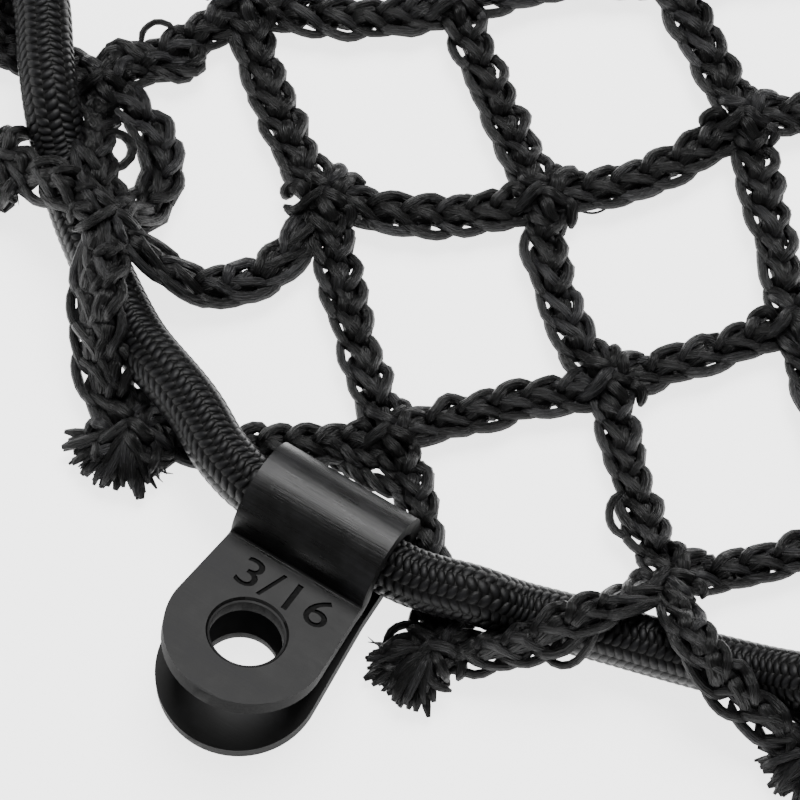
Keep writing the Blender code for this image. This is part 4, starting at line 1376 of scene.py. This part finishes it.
# --------------------------------------------------------------- the clips
@dataclass
class CableClip:
    """A moulded P-clip: a loop round the cord and two tabs with a screw hole."""

    lattice: Lattice
    finish: NylonFinish = field(default_factory=NylonFinish)
    half_length: float = 5.0
    outer_radius: float = 3.54
    wall: float = 1.16
    tab_half_width: float = 5.42
    lower_reach: float = 10.5
    upper_reach: float = 5.8
    upper_shoulder: float = 0.3
    rise: float = math.radians(16)
    crease_angle: float = math.radians(79)
    crease_radius: float = 0.18
    hole_radius: float = 2.4
    lower_hole_extra: float = 0.2
    rim_drop: float = 0.22
    loop_steps: int = 56
    crease_steps: int = 7
    tip_steps: int = 16
    tip_turn: float = math.radians(88.5)
    edge_round: float = 0.14
    edge_angle: float = math.radians(40)
    smooth_angle: float = math.radians(32)
    weld: float = 0.0005
    cutter_height: float = 3.0
    cutter_sides: int = 72
    mark: str = "3/16"
    mark_size: float = 3.25
    mark_spacing: float = 1.02
    mark_depth: float = 0.14
    mark_thickening: float = 0.008
    mark_widening: float = 1.2
    mark_from_root: tuple[float, float] = (1.95, 0.36)
    mark_floor: tuple[float, float] = (-0.2, -0.08)
    mark_place: Vector = field(init=False)
    # How far a face's normal leans, as a cosine, where it counts as a wall or as square to a way.
    end_wall_tilt: float = 0.45
    tab_wall_tilt: float = 0.75
    square: float = 0.9
    tab_start: float = 0.4

    CORNERS: ClassVar[tuple[tuple[str, int, int], ...]] = (
        ("southwest", -1, -1), ("southeast", 1, -1), ("northeast", 1, 1), ("northwest", -1, 1))
    # The cutter's steps above the rim of a hole: how far up, and how much wider.
    CHAMFER: ClassVar[tuple[tuple[float, float], ...]] = ((0.03, 1.06), (0.24, 1.07), (1.2, 1.0))

    @property
    def upper_way(self) -> Vector:
        """Which way the upper tab runs."""
        return Vector((math.cos(self.rise), 0.0, math.sin(self.rise)))

    @property
    def upper_up(self) -> Vector:
        """Which way the upper tab faces."""
        return Vector((-math.sin(self.rise), 0.0, math.cos(self.rise)))

    @staticmethod
    def take(piece: bpy.types.Object | None = None) -> None:
        """Leaves edit mode and selects one piece alone, or nothing."""
        if bpy.context.object and bpy.context.object.mode != "OBJECT":
            bpy.ops.object.mode_set(mode="OBJECT")
        bpy.ops.object.select_all(action="DESELECT")
        if piece:
            piece.select_set(True)
            bpy.context.view_layer.objects.active = piece

    def apply(self, piece: bpy.types.Object, kind: str, **settings: object) -> None:
        """Adds a modifier and applies it.

        Args:
            piece: What it shapes.
            kind: The modifier's type.
            settings: Its attributes.
        """
        modifier = piece.modifiers.new(kind.lower(), kind)
        for name, value in settings.items():
            setattr(modifier, name, value)
        self.take(piece)
        bpy.ops.object.modifier_apply(modifier=modifier.name)

    def merge(self) -> None:
        """Merges the doubles of the shape in edit mode and turns its faces outwards."""
        bpy.ops.mesh.select_all(action="SELECT")
        bpy.ops.mesh.remove_doubles(threshold=self.weld)
        bpy.ops.mesh.normals_make_consistent(inside=False)

    def select_end(self, body: bpy.types.Object, place: Vector, normal: Vector) -> None:
        """Selects the face nearest a place that lies square to a way, in edit mode.

        Args:
            body: The object being shaped, in either mode.
            place: Where the face is.
            normal: The way that it is square to.
        """
        bpy.ops.object.mode_set(mode="OBJECT")
        mesh = body.data
        faces = [face for face in mesh.polygons if abs(face.normal.dot(normal)) > self.square]
        chosen = min(faces, key=lambda face: (face.center - place).length).index
        for part in (mesh.vertices, mesh.edges, mesh.polygons):
            part.foreach_set("select", [False] * len(part))
        mesh.polygons[chosen].select = True
        bpy.ops.object.mode_set(mode="EDIT")
        bpy.ops.mesh.select_mode(type="FACE")

    def grow_tab(self, root: Vector, way: Vector, shoulder: float, to_hole: float) -> None:
        """Extrudes a tab from the selected end: it widens to the hole and has a round tip.

        Args:
            root: The middle of the end that it starts from.
            way: Which way the tab runs.
            shoulder: Where it starts to widen.
            to_hole: How far the hole's middle is.
        """
        at, half = 0.0, self.half_length
        stops = [(shoulder, self.half_length), (to_hole, self.tab_half_width)]
        for k in range(1, self.tip_steps + 1):
            turn = self.tip_turn * k / self.tip_steps
            ahead, beside = self.tab_half_width * math.sin(turn), self.tab_half_width * math.cos(turn)
            stops.append((to_hole + ahead, beside))
        for place, new_half in stops:
            bpy.ops.mesh.extrude_region_move(TRANSFORM_OT_translate={"value": tuple(way * (place - at))})
            if abs(new_half / half - 1.0) > TINY:
                bpy.ops.transform.resize(value=(1.0, new_half / half, 1.0),
                                         center_override=tuple(root + way * place))
            at, half = place, new_half

    def cut(self, body: bpy.types.Object, cutter: bpy.types.Object) -> None:
        """Takes one solid out of another.

        Args:
            body: The solid that is cut.
            cutter: What is taken out; it is removed.
        """
        self.apply(body, "BOOLEAN", operation="DIFFERENCE", solver="EXACT", object=cutter)
        bpy.data.objects.remove(cutter, do_unlink=True)

    def screw_cutter(self, middle: Vector, tilt: float, rim_on_top: bool) -> bpy.types.Object:
        """A cutter for the screw hole and the small chamfer at its outer rim.

        Args:
            middle: The hole's middle, halfway through the tab.
            tilt: How far the tab is turned about Y.
            rim_on_top: True where the outer rim is on top.

        Returns:
            The cutter.
        """
        self.take()
        radius = self.hole_radius + (0.0 if rim_on_top else self.lower_hole_extra)
        bpy.ops.mesh.primitive_cylinder_add(vertices=self.cutter_sides, radius=radius,
                                            depth=self.cutter_height, end_fill_type="NGON")
        cutter = bpy.context.object
        rim, top = self.wall / 2 - self.rim_drop, self.cutter_height / 2
        self.select_end(cutter, Vector((0.0, 0.0, top)), Vector((0.0, 0.0, 1.0)))
        bpy.ops.transform.translate(value=(0.0, 0.0, rim - top))
        for rise, widen in self.CHAMFER:
            bpy.ops.mesh.extrude_region_move(TRANSFORM_OT_translate={"value": (0.0, 0.0, rise)})
            bpy.ops.transform.resize(value=(widen, widen, 1.0), center_override=(0.0, 0.0, rim))
        bpy.ops.object.mode_set(mode="OBJECT")
        cutter.rotation_euler = (0.0 if rim_on_top else math.pi, 0.0, 0.0)
        bpy.ops.object.transform_apply(location=False, rotation=True, scale=False)
        cutter.rotation_euler = (0.0, -tilt, 0.0)
        cutter.location = middle
        bpy.ops.object.transform_apply(location=True, rotation=True, scale=False)
        return cutter

    def mark_cutter(self) -> bpy.types.Object:
        """A cutter for the size number moulded into the upper tab.

        Returns:
            The cutter.
        """
        self.take()
        bpy.ops.object.text_add()
        for name, value in (("body", self.mark), ("size", self.mark_size), ("align_x", "CENTER"),
                            ("align_y", "CENTER"), ("space_character", self.mark_spacing),
                            ("extrude", self.mark_depth), ("offset", self.mark_thickening),
                            ("resolution_u", 4)):
            setattr(bpy.context.object.data, name, value)
        bpy.ops.object.convert(target="MESH")
        cutter = bpy.context.object
        bpy.ops.object.mode_set(mode="EDIT")
        self.merge()
        bpy.ops.object.mode_set(mode="OBJECT")
        turn = Matrix.Rotation(-self.rise, 4, "Y") @ Matrix.Rotation(math.pi / 2, 4, "Z")
        widened = Matrix.Scale(self.mark_widening, 4, EAST)
        cutter.matrix_world = Matrix.Translation(self.mark_place) @ (turn @ widened)
        bpy.ops.object.transform_apply(location=True, rotation=True, scale=False)
        return cutter

    def model(self) -> bpy.types.Object:
        """Models one clip in millimetres, its tabs along X and its lower tab on the plane.

        Returns:
            The clip.
        """
        self.take()
        lower_root = Vector((0.0, 0.0, self.wall / 2))
        bpy.ops.mesh.primitive_plane_add(size=1.0, location=tuple(lower_root),
                                         rotation=(0.0, math.pi / 2, 0.0))
        body = bpy.context.object
        body.scale = (self.wall, 2 * self.half_length, 1.0)
        bpy.ops.object.transform_apply(location=True, rotation=True, scale=True)
        bpy.ops.object.mode_set(mode="EDIT")
        bpy.ops.mesh.select_mode(type="FACE")
        bpy.ops.mesh.select_all(action="SELECT")
        # The strip is spun round the cord, then back through the crease to the upper tab.
        centre = Vector((0.0, 0.0, self.outer_radius))
        loop_turn = math.pi + self.crease_angle
        bpy.ops.mesh.spin(steps=self.loop_steps, angle=loop_turn, center=tuple(centre), axis=(0.0, -1.0, 0.0))
        out = Vector((-math.sin(loop_turn), 0.0, -math.cos(loop_turn)))
        crease = centre + out * (self.outer_radius + self.crease_radius)
        bpy.ops.mesh.spin(steps=self.crease_steps, angle=self.crease_angle + self.rise,
                          center=tuple(crease), axis=(0.0, 1.0, 0.0))
        upper_root = crease - self.upper_up * (self.crease_radius + self.wall / 2)
        self.grow_tab(upper_root, self.upper_way, self.upper_shoulder, self.upper_reach)
        self.select_end(body, lower_root, EAST)
        self.grow_tab(lower_root, EAST, self.outer_radius, self.lower_reach)
        self.merge()
        self.take()
        self.cut(body, self.screw_cutter(Vector((self.lower_reach, 0.0, self.wall / 2)), 0.0, False))
        self.cut(body, self.screw_cutter(upper_root + self.upper_way * self.upper_reach, self.rise, True))
        self.apply(body, "BEVEL", width=self.edge_round, segments=3, limit_method="ANGLE",
                   angle_limit=self.edge_angle)
        along, aside = self.mark_from_root
        face = upper_root + self.upper_up * (self.wall / 2)
        self.mark_place = face + self.upper_way * along + Vector((0.0, aside, 0.0))
        self.cut(body, self.mark_cutter())
        return body

    def dress(self, mesh: bpy.types.Mesh) -> None:
        """Gives the clip its finishes and keeps each point's place on it for them."""
        local = np.empty(3 * len(mesh.vertices), np.float32)
        mesh.vertices.foreach_get("co", local)
        kept = mesh.attributes.new("clip_place", "FLOAT_VECTOR", "POINT")
        kept.data.foreach_set("vector", local)
        mesh.materials.clear()
        mesh.materials.append(self.finish.material())
        mesh.materials.append(self.finish.wall_material())
        deepest, shallowest = self.mark_floor
        for face in mesh.polygons:
            end_wall = abs(face.normal.y) > self.end_wall_tilt
            on_tab = face.center.x > self.outer_radius + self.tab_start
            sunk = deepest < (face.center - self.mark_place).dot(self.upper_up) < shallowest
            in_mark = sunk and face.normal.dot(self.upper_up) > self.square
            tab_wall = on_tab and abs(face.normal.z) < self.tab_wall_tilt
            face.material_index = int(end_wall or tab_wall or in_mark)

    def build(self, route: CordRoute) -> list[bpy.types.Object]:
        """Models the clip once and puts a copy at each corner.

        Args:
            route: The cord that the clips sit on.

        Returns:
            The clips.
        """
        model = self.model()
        self.dress(model.data)
        pieces = []
        for name, east, north in self.CORNERS:
            piece = place_in_scene(f"cable_clip_{name}", model.data.copy())
            x = route.clip_place[0] if east < 0 else self.lattice.width - route.clip_place[0]
            y = route.clip_place[1] if north < 0 else self.lattice.depth - route.clip_place[1]
            where = Matrix.Translation(Vector(self.lattice.to_panel(np.array((x, y, 0.0)))))
            turned = Matrix.Rotation(math.atan2(north, east), 4, "Z")
            piece.data.transform(where @ turned @ Matrix.Scale(MM, 4))
            self.take(piece)
            bpy.ops.object.shade_smooth_by_angle(angle=self.smooth_angle)
            self.apply(piece, "WEIGHTED_NORMAL", keep_sharp=True)
            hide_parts(f"clip_{name}")
            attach(piece, "root")
            pieces.append(piece)
        bpy.data.objects.remove(model, do_unlink=True)
        return pieces


# --------------------------------------------------------------- the studio
@dataclass
class Studio:
    """The white table, the soft lights and the camera."""

    finish: FloorFinish = field(default_factory=FloorFinish)
    table_size: float = 6.0
    table_drop: float = 0.0001
    surround: float = 0.3
    aim: tuple[float, float] = (-84.4, -40.9)
    turn: float = math.radians(-13)
    elevation: float = math.radians(68)
    distance: float = 0.360
    scale: float = 15.19
    frame_pixels: int = 800
    sensor: float = 36.0
    nearest: float = 0.01

    # Square soft lights: name, place and side in metres, power in watts. They face one spot.
    LIGHTS: ClassVar[tuple] = (("key_light", (0.32, 0.67, 1.27), 1.0, 31.0),
                               ("fill_light", (-1.3, 0.5, 0.9), 0.7, 3.0))
    LIT_SPOT: ClassVar[tuple[float, float, float]] = (-0.05, -0.03, 0.0)

    def build_floor(self) -> None:
        """Lays the table under the panel."""
        bpy.ops.object.select_all(action="DESELECT")
        bpy.ops.mesh.primitive_plane_add(size=self.table_size, location=(0.0, 0.0, -self.table_drop))
        floor = bpy.context.object
        floor.name = "table"
        bpy.ops.object.transform_apply(location=True, rotation=False, scale=True)
        floor.data.materials.append(self.finish.material())

    def build_camera(self) -> None:
        """Sets the camera at the photograph's viewing angle."""
        round_z = Matrix.Rotation(self.turn, 3, "Z")
        look = round_z @ Vector((0.0, math.cos(self.elevation), -math.sin(self.elevation)))
        up = round_z @ Vector((0.0, math.sin(self.elevation), math.cos(self.elevation)))
        data = bpy.data.cameras.new("photo_camera")
        data.sensor_width = self.sensor
        data.lens = self.sensor * self.scale * self.distance / MM / self.frame_pixels
        data.clip_start = self.nearest
        camera = place_in_scene("photo_camera", data)
        axes = Matrix((round_z @ EAST, up, -look)).transposed().to_4x4()
        place = Vector((self.aim[0] * MM, self.aim[1] * MM, 0.0)) - look * self.distance
        camera.matrix_world = Matrix.Translation(place) @ axes
        bpy.context.scene.camera = camera

    def build_lights(self) -> None:
        """Hangs the soft lights and sets an even white surround."""
        for name, where, size, power in self.LIGHTS:
            data = bpy.data.lights.new(name, "AREA")
            data.size = size
            data.energy = power
            place = Vector(where)
            turned = (Vector(self.LIT_SPOT) - place).to_track_quat("-Z", "Y").to_matrix().to_4x4()
            place_in_scene(name, data).matrix_world = Matrix.Translation(place) @ turned
        world = bpy.data.worlds.new("white_room")
        bpy.context.scene.world = world
        world.use_nodes = True
        background = world.node_tree.nodes["Background"]
        background.inputs["Color"].default_value = (1.0, 1.0, 1.0, 1.0)
        background.inputs["Strength"].default_value = self.surround

    def build(self) -> None:
        """Sets up the whole studio."""
        self.build_floor()
        self.build_lights()
        self.build_camera()


def main() -> None:
    """Builds the studio, the net, the cord and the clips in order."""
    logging.basicConfig(level=logging.INFO, format="%(name)s: %(message)s")
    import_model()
    Studio().build()
    lattice = Lattice()
    route = CordRoute(lattice)
    log.info("cord: %.1f mm long", route.length)
    pieces = KnittedNet(lattice, route).build()
    pieces += ElasticCord(lattice, route).build()
    pieces += CableClip(lattice).build(route)
    for piece in pieces:
        piece.data.calc_loop_triangles()
        log.info("%s: %d triangles", piece.name, len(piece.data.loop_triangles))


if __name__ == "__main__":
    main()
